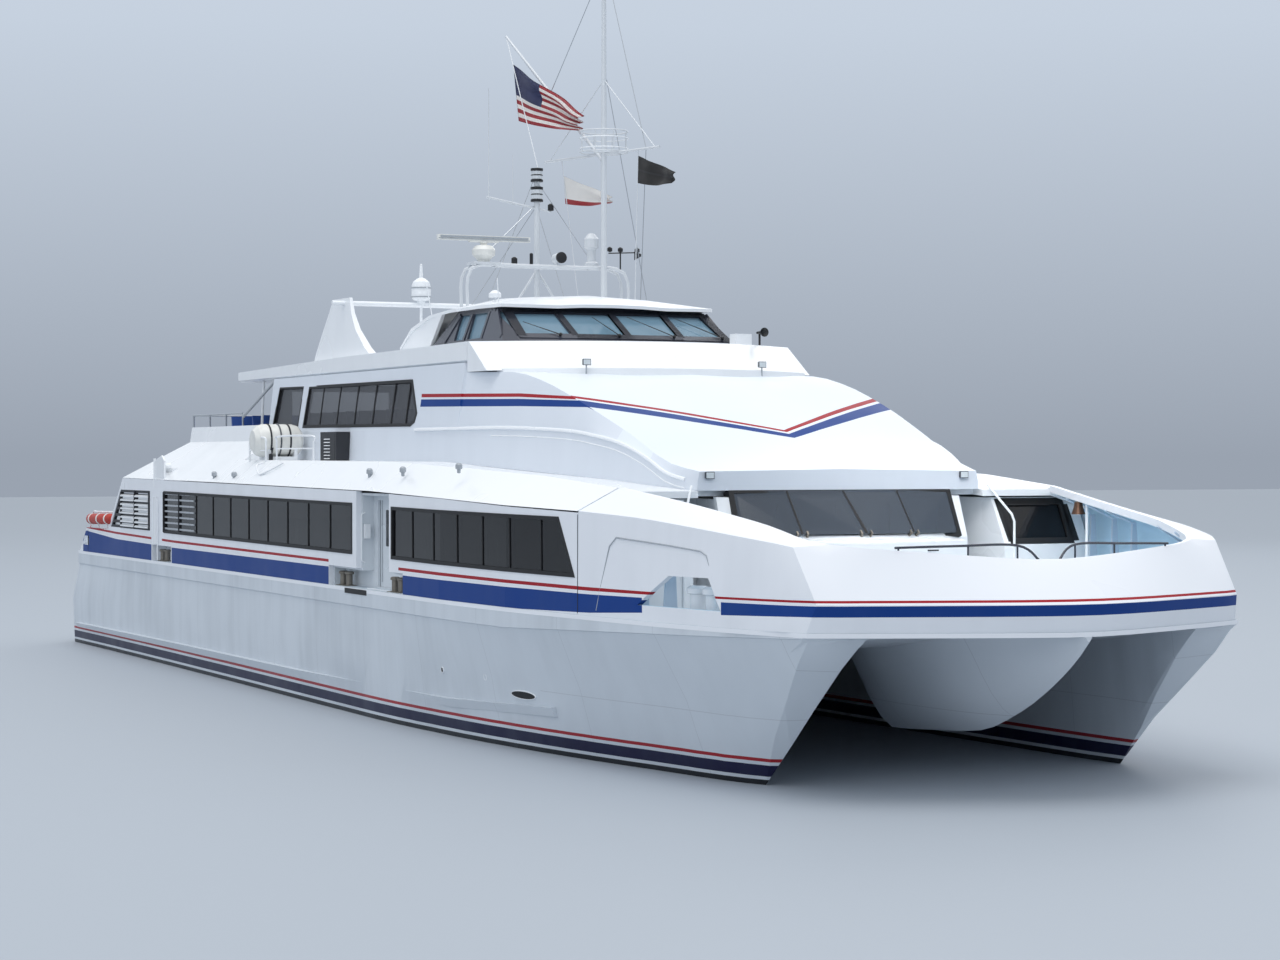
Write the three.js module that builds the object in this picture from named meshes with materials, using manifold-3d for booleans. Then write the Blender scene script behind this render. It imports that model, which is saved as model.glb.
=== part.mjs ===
// A passenger catamaran ferry, drawn in metres of the real ship and scaled to a 1:2 model in millimetres.
// +X is the bow, +Y port, +Z up. The origin is on the centre line at the waterline, near midships.
import * as THREE from "three";
import { mergeVertices } from "three/addons/utils/BufferGeometryUtils.js";
import Module from "manifold-3d";

const wasm = await Module();
wasm.setup();

// Driving dimensions, in metres of the real ship.
const MODEL_MM_PER_METRE = 500;
const GAP = 0.001; // between pieces that are bolted or welded face to face
const PLATE = 0.12; // thickness of a cabin wall with its lining
const DECK_UNDERSIDE = 2.585; // top of the hulls
const MAIN_DECK = 2.66; // walking surface of the main deck
const WET_DECK = 2.02; // underside of the bridge between the hulls
const TRANSOM_X = -20.3;
const SIDE_Y = 5.76; // outer face of the main-deck cabin side
const UPPER_DECK = 5.33; // walking surface of the upper deck
const CANOPY_Z = 7.8; // top of the canopy's edge
const WHEELHOUSE_SILL = 7.88;
const WHEELHOUSE_TOP = 8.6;
const DOOR_CLEARANCE = 0.012; // running gap of a moving door, 6 mm on the model

// Painted and metal finishes.
const paint = (color, roughness = 0.35, metalness = 0) =>
  new THREE.MeshStandardMaterial({ color, roughness, metalness });
const WHITE = paint(0xf2f4f6);
const GREY = paint(0xb9bec4, 0.5);
const GLASS = paint(0x22252c, 0.1);
const STEEL = paint(0xa7abb0, 0.35, 0.9);
const DARK = paint(0x2a2c31, 0.6);
const RED = paint(0xb02a2c, 0.6);
const BLUE = paint(0x2c3f8c, 0.6);

// A closed geometry turned into a solid that can be cut and joined.
function solid(geometry) {
  const bare = new THREE.BufferGeometry();
  bare.setAttribute("position", geometry.getAttribute("position"));
  if (geometry.index) bare.setIndex(geometry.index);
  const merged = mergeVertices(bare, 1e-5);
  return new wasm.Manifold(
    new wasm.Mesh({
      numProp: 3,
      vertProperties: new Float32Array(merged.attributes.position.array),
      triVerts: new Uint32Array(merged.index.array),
    }),
  );
}

function geometryOf(body) {
  const mesh = body.getMesh();
  const count = mesh.numVert;
  const positions = new Float32Array(count * 3);
  for (let i = 0; i < count; i++) {
    positions.set(mesh.vertProperties.subarray(i * mesh.numProp, i * mesh.numProp + 3), i * 3);
  }
  const geometry = new THREE.BufferGeometry();
  geometry.setAttribute("position", new THREE.BufferAttribute(positions, 3));
  geometry.setIndex(new THREE.BufferAttribute(new Uint32Array(mesh.triVerts), 1));
  return geometry;
}

const join = (...bodies) => bodies.reduce((all, body) => all.add(body));
const cut = (body, ...tools) => tools.reduce((left, tool) => left.subtract(tool), body);

// Triangles over one ring of points, seen along the axis that its plane faces most.
function capTriangles(ring) {
  const normal = new THREE.Vector3();
  ring.forEach((p, i) => {
    const q = ring[(i + 1) % ring.length];
    normal.x += (p[1] - q[1]) * (p[2] + q[2]);
    normal.y += (p[2] - q[2]) * (p[0] + q[0]);
    normal.z += (p[0] - q[0]) * (p[1] + q[1]);
  });
  const size = [Math.abs(normal.x), Math.abs(normal.y), Math.abs(normal.z)];
  const drop = size.indexOf(Math.max(...size));
  const [u, v] = [0, 1, 2].filter((axis) => axis !== drop);
  return THREE.ShapeUtils.triangulateShape(ring.map((p) => new THREE.Vector2(p[u], p[v])), []);
}

// A closed body through rings of equally many points, given as [x, y, z].
function loft(rings) {
  const count = rings[0].length;
  const positions = rings.flat(2);
  const index = [];
  for (let r = 0; r + 1 < rings.length; r++) {
    for (let i = 0; i < count; i++) {
      const a = r * count + i;
      const b = r * count + ((i + 1) % count);
      index.push(a, b, b + count, a, b + count, a + count);
    }
  }
  const last = (rings.length - 1) * count;
  const around = (triangles, base, start) =>
    triangles.forEach(([a, b, c]) => {
      const forward = start ? [a, c, b] : [a, b, c];
      index.push(...forward.map((i) => i + base));
    });
  const first = capTriangles(rings[0]);
  const end = capTriangles(rings[rings.length - 1]);
  const turnsLikeRing = (triangles) =>
    triangles.some((t) => t.some((v, k) => t[(k + 1) % 3] === (v + 1) % count));
  around(first, 0, turnsLikeRing(first));
  around(end, last, !turnsLikeRing(end));
  const geometry = new THREE.BufferGeometry();
  geometry.setAttribute("position", new THREE.Float32BufferAttribute(positions, 3));
  geometry.setIndex(index);
  const made = solid(geometry);
  if (made.volume() > 0) return made;
  for (let i = 0; i < index.length; i += 3) [index[i], index[i + 1]] = [index[i + 1], index[i]];
  geometry.setIndex(index);
  return solid(geometry);
}

const mirrored = (body) => body.mirror([0, 1, 0]);

// The port half of a body with its mirror image.
function symmetric(body) {
  const port = body.trimByPlane([0, 1, 0], 0);
  return join(port, mirrored(port));
}

function box([x0, x1], [y0, y1], [z0, z1]) {
  const geometry = new THREE.BoxGeometry(x1 - x0, y1 - y0, z1 - z0);
  geometry.translate((x0 + x1) / 2, (y0 + y1) / 2, (z0 + z1) / 2);
  return solid(geometry);
}

// An outline of [x, z] points as a plate from y0 to y1.
function sidePlate(outline, y0, y1) {
  return loft([y0, y1].map((y) => outline.map(([x, z]) => [x, y, z])));
}

// An outline of [x, y] points as a plate from z0 to z1.
function deckPlate(outline, z0, z1) {
  return loft([z0, z1].map((z) => outline.map(([x, y]) => [x, y, z])));
}

// An outline of [y, z] points as a plate from x0 to x1.
function crossPlate(outline, x0, x1) {
  return loft([x0, x1].map((x) => outline.map(([y, z]) => [x, y, z])));
}

// A round bar between two points, tapering when a second radius is given.
function rod(from, to, radius, endRadius = radius, sides = 10) {
  const a = new THREE.Vector3(...from);
  const b = new THREE.Vector3(...to);
  const geometry = new THREE.CylinderGeometry(endRadius, radius, a.distanceTo(b), sides);
  geometry.rotateX(Math.PI / 2);
  const turn = new THREE.Quaternion().setFromUnitVectors(
    new THREE.Vector3(0, 0, 1),
    b.clone().sub(a).normalize(),
  );
  geometry.applyQuaternion(turn);
  geometry.translate((a.x + b.x) / 2, (a.y + b.y) / 2, (a.z + b.z) / 2);
  return solid(geometry);
}

// A round tube along a smooth curve through the points.
function tube(points, radius, sides = 8, steps = 24) {
  const places = points.map((p) => new THREE.Vector3(...p));
  const curve = new THREE.CatmullRomCurve3(places, false, "centripetal");
  const shape = new THREE.Shape();
  for (let i = 0; i < sides; i++) {
    const turn = (i / sides) * 2 * Math.PI;
    const place = [radius * Math.cos(turn), radius * Math.sin(turn)];
    if (i) shape.lineTo(...place);
    else shape.moveTo(...place);
  }
  return solid(new THREE.ExtrudeGeometry(shape, { extrudePath: curve, steps, bevelEnabled: false }));
}

// A body turned about the vertical line through a place, from [radius, z] points.
function turned(profile, [x, y, z], sides = 20) {
  const geometry = new THREE.LatheGeometry(profile.map(([r, h]) => new THREE.Vector2(r, h)), sides);
  geometry.rotateX(Math.PI / 2);
  geometry.translate(x, y, z);
  return solid(geometry);
}

const between = (a, b, share) => a + (b - a) * share;

// Value of a column at x, read along a table whose first column is x.
function along(table, x, column) {
  for (let i = 0; i + 1 < table.length; i++) {
    const [low, high] = [table[i], table[i + 1]];
    if (x <= high[0] || i + 2 === table.length) {
      return between(low[column], high[column], (x - low[0]) / (high[0] - low[0]));
    }
  }
  return table[0][column];
}

// More rows between those of a table, at most `step` apart along `span`, on a curve through every
// column that never swings past its rows.
function faired(table, step, span = (a, b) => Math.abs(b[0] - a[0])) {
  const place = [0];
  for (let i = 1; i < table.length; i++) place.push(place[i - 1] + span(table[i - 1], table[i]));
  const rise = (i, column) => (table[i + 1][column] - table[i][column]) / (place[i + 1] - place[i]);
  const last = table.length - 1;
  const slope = (i, column) => {
    if (i === 0) return rise(0, column);
    if (i === last) return rise(last - 1, column);
    const [before, after] = [rise(i - 1, column), rise(i, column)];
    return before * after > 0 ? (2 * before * after) / (before + after) : 0;
  };
  const rows = [];
  for (let i = 0; i < last; i++) {
    const length = place[i + 1] - place[i];
    const parts = Math.ceil(length / step);
    for (let k = 0; k < parts; k++) {
      const t = k / parts;
      rows.push(
        table[i].map((value, column) => {
          const end = table[i + 1][column];
          const [out, into] = [slope(i, column) * length, slope(i + 1, column) * length];
          const turn = 3 * (end - value) - 2 * out - into;
          const settle = 2 * (value - end) + out + into;
          return value + t * out + t * t * turn + t * t * t * settle;
        }),
      );
    }
  }
  return [...rows, table[last]];
}

// Door hinges stand off the wall's face. The leaf's knuckles sit on the wall's brackets, one above
// the other on the same upright axis.
const LEAF = 0.05; // thickness of a hinged door
const HINGE = { radius: 0.022, offEdge: 0.03, height: 0.09, bracket: 0.03 };

function knuckles({ x, y, toLeaf, heights }) {
  const { radius, offEdge, height } = HINGE;
  const tabY = [y, y + toLeaf * (offEdge + 0.012)].sort((a, b) => a - b);
  return join(
    ...heights.flatMap((z) => [
      rod([x, y, z], [x, y, z + height], radius, radius, 12),
      box([x - 0.014, x + 0.014], tabY, [z, z + height]),
    ]),
  );
}

function brackets({ x, y, wallX, heights }) {
  const { radius, bracket } = HINGE;
  const reach = [x, wallX].sort((a, b) => a - b);
  return join(
    ...heights.flatMap((z) => [
      rod([x, y, z - GAP - bracket], [x, y, z - GAP], radius, radius, 12),
      box(reach, [y - 0.015, y + 0.015], [z - GAP - bracket, z - GAP]),
    ]),
  );
}

const ship = new THREE.Group();
ship.scale.setScalar(MODEL_MM_PER_METRE);

function piece(name, body, material) {
  const mesh = new THREE.Mesh(geometryOf(body), material);
  mesh.name = name;
  ship.add(mesh);
}

// A piece on the port side and its mirror image to starboard.
function pair(name, body, material) {
  piece(name + "_port", body, material);
  piece(name + "_starboard", mirrored(body), material);
}

// One slender hull, in cross sections. Columns: x, keel z and y, then the bilge (z, inner y, outer y),
// the topside (z, inner y, outer y) and the deck edge (inner y, outer y). Above the knuckle the outer
// side is an upright strake, and below it the side falls away.
const STRAKE_STEP = 0.03;
const KNUCKLE = [
  [TRANSOM_X, 2.3],
  [12, 2.3],
  [16.5, 2.45],
  [20.62, 2.57],
];
const HULL_ROWS = [
  [TRANSOM_X, -0.9, 4.4, -0.35, 2.95, 5.9, 1.3, 2.9, 5.96, 2.8, 5.8],
  [-16, -1.35, 4.4, -0.45, 2.92, 5.8, 1.3, 2.88, 5.86, 2.75, 5.8],
  [-6, -1.5, 4.35, -0.5, 2.9, 5.68, 1.3, 2.88, 5.78, 2.75, 5.8],
  [5, -1.5, 4.3, -0.5, 2.92, 5.6, 1.3, 2.9, 5.75, 2.75, 5.8],
  [9, -1.5, 4.2, -0.45, 3.02, 5.32, 1.3, 3, 5.58, 2.8, 5.8],
  [12, -1.45, 4.05, -0.4, 3.15, 4.9, 1.3, 3.1, 5.28, 2.88, 5.66],
  [14.5, -1.3, 3.9, -0.35, 3.28, 4.4, 1.3, 3.18, 4.9, 2.95, 5.38],
  [16.5, -0.95, 3.7, -0.25, 3.38, 3.97, 1.3, 3.25, 4.5, 3.05, 5.14],
  [18.2, 0, 3.53, 0.5, 3.42, 3.8, 1.4, 3.33, 4.28, 3.2, 4.86],
  [18.9, 0.68, 3.45, 0.86, 3.4, 3.74, 1.6, 3.3, 4.24, 3.18, 4.69],
  [19.5, 1.34, 3.34, 1.42, 3.3, 3.88, 1.95, 3.26, 4.2, 3.17, 4.53],
  [20.2, 2.04, 3.24, 2.09, 3.21, 4.05, 2.32, 3.19, 4.18, 3.15, 4.32],
  [20.6, 2.37, 3.19, 2.45, 3.17, 3.95, 2.52, 3.16, 4.08, 3.14, 4.18],
  [20.84, 2.54, 3.16, 2.545, 3.15, 3.4, 2.55, 3.14, 3.6, 3.13, 3.72],
];
const HULL = faired(HULL_ROWS, 1.05);

function hull() {
  return loft(
    HULL.map(([x, keelZ, keelY, lowZ, lowIn, lowOut, midZ, midIn, midOut, topIn, topOut]) => [
      [x, keelY, keelZ],
      [x, lowOut, lowZ],
      [x, midOut, midZ],
      [x, topOut - STRAKE_STEP, along(KNUCKLE, x, 1) - STRAKE_STEP / 2],
      [x, topOut, along(KNUCKLE, x, 1)],
      [x, topOut, DECK_UNDERSIDE - GAP],
      [x, topIn, DECK_UNDERSIDE - GAP],
      [x, midIn, midZ],
      [x, lowIn, lowZ],
    ]),
  );
}

// The spray rail along the outer side, just above the waterline stripes. Columns: x, z of its top.
const SPRAY_RAIL = [
  [-19.8, 0.62],
  [-10, 0.66],
  [0, 0.7],
  [9, 0.78],
  [13, 0.92],
];

function sprayRail() {
  const proud = 0.09;
  const depth = 0.2;
  const inset = 0.12;
  const sideAt = (x, z) => {
    const [low, high] = [along(HULL, x, 3), along(HULL, x, 6)];
    return between(along(HULL, x, 5), along(HULL, x, 8), (z - low) / (high - low));
  };
  return loft(
    SPRAY_RAIL.map(([x, z]) => [
      [x, sideAt(x, z) - inset, z],
      [x, sideAt(x, z) + proud, z - 0.03],
      [x, sideAt(x, z) + 0.01, z - depth],
      [x, sideAt(x, z) - inset, z - depth],
    ]),
  );
}

// Half of the main deck's outline: x and y from the transom to the bow.
const DECK_EDGE = [
  [TRANSOM_X, 5.8],
  [9, 5.8],
  [12, 5.66],
  [14.5, 5.38],
  [16.5, 5.14],
  [18, 4.9],
  [19.5, 4.55],
  [20.7, 4.14],
  [21.1, 3.3],
  [21.62, 2.1],
  [22.05, 1],
  [22.25, 0.3],
];

// The bridge between the hulls, with the keeled centre bow ahead of it.
// Columns of the bow: x, keel z, half width at the deck.
const CENTRE_BOW = [
  [15.5, 1.9, 0.8],
  [16.3, 0.63, 1.1],
  [17.6, 0.7, 1.42],
  [19.2, 0.84, 1.28],
  [20.4, 1.25, 0.88],
  [21.05, 1.58, 0.6],
  [21.6, 1.92, 0.36],
  [22.05, 2.26, 0.16],
  [22.3, 2.5, 0.06],
];
const BOW_STEP = 0.42;

function centreBow() {
  const flare = [
    [0.2, 0.1],
    [0.42, 0.28],
    [0.62, 0.5],
    [0.82, 0.75],
    [1, 0.95],
  ];
  return loft(
    faired(CENTRE_BOW, BOW_STEP).map(([x, keel, half]) => {
      const top = DECK_UNDERSIDE - GAP;
      const side = flare.map(([out, rise]) => [x, half * out, between(keel, top, rise)]);
      side.push([x, half, top]);
      return [[x, 0, keel], ...side, ...side.toReversed().map(([px, y, z]) => [px, -y, z])];
    }),
  );
}

// Columns: x, z of the underside.
const BRIDGE = [
  [TRANSOM_X + 0.3, WET_DECK],
  [14.5, WET_DECK],
  [16.5, WET_DECK + 0.05],
  [18.2, 2.2],
  [19.4, 2.38],
  [20.2, 2.5],
];

function bridge() {
  const top = DECK_UNDERSIDE - GAP;
  const block = loft(
    BRIDGE.map(([x, low]) => {
      const half = between(along(HULL, x, 9), along(HULL, x, 10), 0.15);
      return [
        [x, -half, low],
        [x, half, low],
        [x, half, top],
        [x, -half, top],
      ];
    }),
  );
  const clear = hull().translate([0, -2 * GAP, 0]);
  return symmetric(cut(join(block, centreBow()), clear, mirrored(clear)));
}

// Raised steps and hatches on the deck. Columns: x range, y range, height.
const DECK_PADS = [
  [[4.5, 5.9], [5.42, 5.62], 0.02],
  [[4.5, 5.9], [-5.62, -5.42], 0.02],
  [[16.6, 17.4], [-0.4, 0.4], 0.03],
  [[-17.6, -16.8], [-0.4, 0.4], 0.03],
];

function mainDeck() {
  const outline = [...DECK_EDGE, ...DECK_EDGE.toReversed().map(([x, y]) => [x, -y])];
  const pads = DECK_PADS.map(([x, y, height]) => box(x, y, [DECK_UNDERSIDE + 0.02, MAIN_DECK + height]));
  return join(deckPlate(outline, DECK_UNDERSIDE, MAIN_DECK), ...pads);
}

// Side walls of the main-deck cabin, outlines of [x, z].
const RECESS_X = [4.2, 6.2]; // the boarding door's recess
const LEDGE_X = [2.4, 7]; // the low mooring recess either side of it
const LEDGE_TOP = 3.08;
const RECESS_TOP = 4.65;
const RECESS_BACK = 5.34;

const AFT_SIDE = [
  [TRANSOM_X + 0.02, MAIN_DECK + GAP],
  [LEDGE_X[0], MAIN_DECK + GAP],
  [LEDGE_X[0], LEDGE_TOP],
  [RECESS_X[0], LEDGE_TOP],
  [RECESS_X[0], 4.69],
  [-15.3, 4.82],
  [-16.95, 3.36],
  [-19.45, 3.36],
];
const AFT_WINDOWS = [
  [-11, 3.44],
  [3.93, 3.38],
  [3.93, 4.42],
  [-11, 4.49],
];
const LOUVRES = [
  [-16.65, 3.45],
  [-12.4, 3.44],
  [-12.4, 4.5],
  [-15.5, 4.5],
];
const STERN_PORT = [
  [-19.95, 2.86],
  [-19.2, 2.86],
  [-19.2, 3.12],
  [-19.72, 3.12],
];

// The aft mooring recess is a shallow tray let into the side.
const MOORING_X = [-12.2, -10.3];
const MOORING_DEPTH = 0.4;

function aftSide() {
  const inner = SIDE_Y - PLATE;
  const wall = sidePlate(AFT_SIDE, inner, SIDE_Y);
  const [x0, x1] = MOORING_X;
  const back = SIDE_Y - MOORING_DEPTH;
  const lip = 0.05;
  const tray = box(
    [x0 - lip, x1 + lip],
    [back - lip, inner + 0.02],
    [MAIN_DECK + GAP, LEDGE_TOP + lip],
  );
  const hollow = box([x0, x1], [back, SIDE_Y + 1], [MAIN_DECK - 1, LEDGE_TOP]);
  const through = (outline) => sidePlate(outline, inner - 0.02, SIDE_Y + 1);
  return cut(join(wall, tray), hollow, through(AFT_WINDOWS), through(LOUVRES), through(STERN_PORT));
}

// Forward side wall. Columns: x, outer y, top z.
const FORWARD_SIDE = [
  [RECESS_X[1], SIDE_Y, 4.65],
  [9, SIDE_Y, 4.6],
  [12, 5.62, 4.5],
  [14.63, 5.33, 4.43],
];
const FORWARD_WINDOWS = [
  [6.35, 3.36],
  [14.5, 3.32],
  [13.95, 4.33],
  [6.35, 4.38],
];

function forwardSide() {
  const wall = loft(
    FORWARD_SIDE.map(([x, y, top]) => [
      [x, y, MAIN_DECK + GAP],
      [x, y, top],
      [x, y - PLATE, top],
      [x, y - PLATE, MAIN_DECK + GAP],
    ]),
  );
  const notch = box([RECESS_X[1] - 1, LEDGE_X[1]], [4, 7], [MAIN_DECK - 1, LEDGE_TOP]);
  return cut(wall, notch, sidePlate(FORWARD_WINDOWS, 4, 7));
}

const DOOR = { x: [4.4, 6.0], z: [MAIN_DECK + 0.03, 4.6], thick: 0.06 };
const DOOR_WAY = { x: [4.5, 5.9], z: [MAIN_DECK + 0.04, 4.5] };
const DOOR_RAIL = { x: [2.75, 6.15], z: [DOOR.z[1] + GAP, 4.64] }; // the leaf runs aft under this rail

// The tray behind the boarding doorway and the mooring ledge.
function doorRecess() {
  const mouth = (inward, low) => [
    [LEDGE_X[0] + inward, low],
    [LEDGE_X[1] - inward, low],
    [LEDGE_X[1] - inward, LEDGE_TOP - inward],
    [RECESS_X[1] - inward, LEDGE_TOP - inward],
    [RECESS_X[1] - inward, RECESS_TOP - inward],
    [RECESS_X[0] + inward, RECESS_TOP - inward],
    [RECESS_X[0] + inward, LEDGE_TOP - inward],
    [LEDGE_X[0] + inward, LEDGE_TOP - inward],
  ];
  const wall = 0.05;
  const front = SIDE_Y - PLATE - GAP;
  const shell = cut(
    sidePlate(mouth(0, MAIN_DECK + GAP), RECESS_BACK, front),
    sidePlate(mouth(wall, MAIN_DECK - 1), RECESS_BACK + wall, front + 1),
  );
  const way = box(DOOR_WAY.x, [RECESS_BACK - 1, RECESS_BACK + 0.2], DOOR_WAY.z);
  const rail = box(DOOR_RAIL.x, [RECESS_BACK - 0.07, RECESS_BACK + 0.01], DOOR_RAIL.z);
  return join(cut(shell, way), rail);
}

function sideDoor() {
  const outer = RECESS_BACK - DOOR_CLEARANCE;
  return box(DOOR.x, [outer - DOOR.thick, outer], DOOR.z);
}

// Dark glass fills a window opening, a little back from the outer face.
const GLASS_THICK = 0.04;

// An outline of two-column points with each edge moved inwards.
function inset(outline, by) {
  const turn = Math.sign(THREE.ShapeUtils.area(outline.map(([x, y]) => new THREE.Vector2(x, y))));
  return outline.map((p, i) => {
    const before = outline.at(i - 1);
    const after = outline[(i + 1) % outline.length];
    const normal = ([x0, y0], [x1, y1]) => {
      const length = Math.hypot(x1 - x0, y1 - y0);
      return [(-turn * (y1 - y0)) / length, (turn * (x1 - x0)) / length];
    };
    const [ax, ay] = normal(before, p);
    const [bx, by2] = normal(p, after);
    const stretch = by / (1 + ax * bx + ay * by2);
    return [p[0] + (ax + bx) * stretch, p[1] + (ay + by2) * stretch];
  });
}

function aftGlass() {
  const outer = SIDE_Y - 0.03;
  return sidePlate(inset(AFT_WINDOWS, GAP), outer - GLASS_THICK, outer);
}

function forwardGlass() {
  const band = loft(
    FORWARD_SIDE.map(([x, y]) => [
      [x, y - 0.03, 3],
      [x, y - 0.03, 4.6],
      [x, y - 0.03 - GLASS_THICK, 4.6],
      [x, y - 0.03 - GLASS_THICK, 3],
    ]),
  );
  return band.intersect(sidePlate(inset(FORWARD_WINDOWS, GAP), 4, 7));
}

// Louvre slats stand in the open after part of the side: a frame with sloping blades.
function louvres() {
  const outer = SIDE_Y - 0.02;
  const inner = outer - 0.07;
  const frame = cut(
    sidePlate(inset(LOUVRES, GAP), inner, outer),
    sidePlate(inset(LOUVRES, 0.07), inner - 1, outer + 1),
  );
  const mullion = box([-14.05, -13.95], [inner, outer], [3.45, 4.49]);
  const blades = [0, 1, 2, 3, 4].map((i) => {
    const z = 3.58 + i * 0.185;
    return box([-17, -12.43], [inner, outer], [z, z + 0.075]);
  });
  const outline = sidePlate(inset(LOUVRES, GAP), inner, outer);
  return join(frame, mullion, ...blades).intersect(outline);
}

// Roof of the main-deck cabin, with sloping shoulders that fall to the side walls.
// Columns: x, shoulder foot y and z, shoulder head y and the roof's z there, z of the raised edge.
const ROOF = [
  [-6.3, SIDE_Y, 4.78, 5.15, UPPER_DECK, UPPER_DECK],
  [5, SIDE_Y, 4.7, 5.2, 5.3, 5.3],
  [9, SIDE_Y, 4.61, 5.02, 5.12, 5.17],
  [12, 5.62, 4.52, 4.79, 4.98, 5.05],
  [14.6, 5.33, 4.46, 4.55, 4.79, 4.86],
];
const CREST = 0.15; // width of the raised edge
const ROOF_THICK = 0.12;

function roofRings(lift, under) {
  return ROOF.map(([x, footY, footZ, headY, headZ, crestZ]) => [
    [x, footY, footZ + lift],
    [x, headY, crestZ + lift],
    [x, headY - CREST, headZ + lift],
    [x, CREST - headY, headZ + lift],
    [x, -headY, crestZ + lift],
    [x, -footY, footZ + lift],
    ...under({ x, footY, footZ, headY, headZ }),
  ]);
}

const lining = ({ x, footY, footZ, headY, headZ }) => [
  [x, -footY + 0.15, footZ],
  [x, -headY + 0.05, headZ - ROOF_THICK],
  [x, headY - 0.05, headZ - ROOF_THICK],
  [x, footY - 0.15, footZ],
];

// All that lies below the roof's upper face, and all that lies above its lining, with the gap.
function belowRoof() {
  const flat = ({ x, footY }) => [-footY, -footY / 3, footY / 3, footY].map((y) => [x, y, 3]);
  const aft = box([-8, ROOF[0][0] + 0.05], [-5, 5], [3, UPPER_DECK + GAP]);
  return symmetric(join(loft(roofRings(GAP, flat)), aft));
}

function aboveLining() {
  return symmetric(
    loft(
      ROOF.map((row) => {
        const [x, footY, footZ, headY, headZ] = row;
        const under = lining({ x, footY, footZ, headY, headZ }).map(([px, y, z]) => [px, y, z - GAP]);
        return [[x, footY, footZ - GAP], [x, footY, 7], [x, -footY, 7], [x, -footY, footZ - GAP], ...under];
      }),
    ),
  );
}

function forwardRoof() {
  const body = symmetric(loft(roofRings(0, lining)));
  const cradles = cradle();
  return join(cut(body, box([14.25, 15], [-2.98, 2.98], [4, 6])), cradles, mirrored(cradles));
}

// Upper cabin and the sloping hood ahead of it, as one shell.
// Columns: x, base y, base z, sill y, sill z, crease y, crease z, centre z.
const UPPER_HEAD = 7.36;
const UPPER_ROWS = [
  [-7.6, 4.02, UPPER_DECK, 3.99, 6.0, 3.84, UPPER_HEAD, UPPER_HEAD],
  [5.4, 4.02, UPPER_DECK, 3.98, 6.0, 3.8, UPPER_HEAD, UPPER_HEAD],
  [5.44, 4.02, UPPER_DECK, 3.98, 6.0, 3.76, 7.16, 7.16],
  [7.2, 3.98, 5.22, 3.92, 5.99, 3.46, 7.12, 7.16],
  [8.5, 3.9, 5.16, 3.82, 5.97, 3.42, 6.93, 7.06],
  [10.3, 3.72, 5.08, 3.62, 5.9, 3.35, 6.46, 6.6],
  [12.2, 3.48, 5.0, 3.4, 5.66, 3.19, 5.83, 5.95],
  [13.7, 3.22, 4.86, 3.18, 5.12, 3.07, 5.28, 5.4],
  [14.5, 2.95, 4.83, 2.94, 4.95, 2.9, 5.14, 5.18],
];
const UPPER_SHELL = [...UPPER_ROWS.slice(0, 2), ...faired(UPPER_ROWS.slice(2), 0.65)];

function upperShellOutline(inward, down) {
  return loft(
    UPPER_SHELL.map(([x, baseY, baseZ, sillY, sillZ, creaseY, creaseZ, centreZ], i) => {
      const place = inward && i === UPPER_SHELL.length - 1 ? x - inward : inward && i === 0 ? x - 1 : x;
      return [
        [place, -baseY + inward, baseZ - 0.1 - down],
        [place, -sillY + inward, sillZ],
        [place, -creaseY + inward, creaseZ - inward],
        [place, 0, centreZ - inward],
        [place, creaseY - inward, creaseZ - inward],
        [place, sillY - inward, sillZ],
        [place, baseY - inward, baseZ - 0.1 - down],
      ];
    }),
  );
}

const UPPER_WINDOWS = [
  [-4.85, 6.12],
  [2.62, 6.08],
  [2.86, 6.16],
  [2.95, 6.34],
  [2.43, 7.07],
  [-4.7, 7.1],
];
const QUARTER_WINDOW = [
  [-7.3, 6.14],
  [-5.25, 6.13],
  [-5.1, 7.12],
  [-7.05, 7.14],
];

// The shell's welded seam, where the hood starts.
const HOOD_SEAM_X = 5.42;

function upperShell() {
  return symmetric(cut(upperShellOutline(0, 0), upperShellOutline(PLATE, 0.6), belowRoof()));
}

function upperCabin() {
  const windows = [UPPER_WINDOWS, QUARTER_WINDOW].map((outline) => sidePlate(outline, -6, 6));
  const stair = box(STAIR_WAY.x, STAIR_WAY.y, [7, 9]);
  return symmetric(cut(upperShell().trimByPlane([-1, 0, 0], -HOOD_SEAM_X), ...windows, stair));
}

const hood = () => upperShell().trimByPlane([1, 0, 0], HOOD_SEAM_X + GAP);

function upperGlass(outline) {
  const depth = 0.03;
  const layer = cut(upperShellOutline(depth, 0.6), upperShellOutline(depth + GLASS_THICK, 0.7));
  const kept = sidePlate(inset(outline, GAP), 2, 6);
  return layer.intersect(kept);
}

// After wall of the upper cabin, with a doorway on the centre line.
const UPPER_DOOR = { y: [-0.45, 0.45], z: [UPPER_DECK + 0.02, 7.2] };

const UPPER_WALL_X = [-7.55, -7.47];
const UPPER_LEAF = { y: [-0.5, 0.5], z: [UPPER_DECK + 0.03, 7.24] };
const UPPER_HINGE = {
  x: UPPER_WALL_X[0] - DOOR_CLEARANCE - LEAF,
  y: UPPER_LEAF.y[1] + HINGE.offEdge,
  wallX: UPPER_WALL_X[0] + 0.04,
  toLeaf: -1,
  heights: [5.65, 6.9],
};

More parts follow.
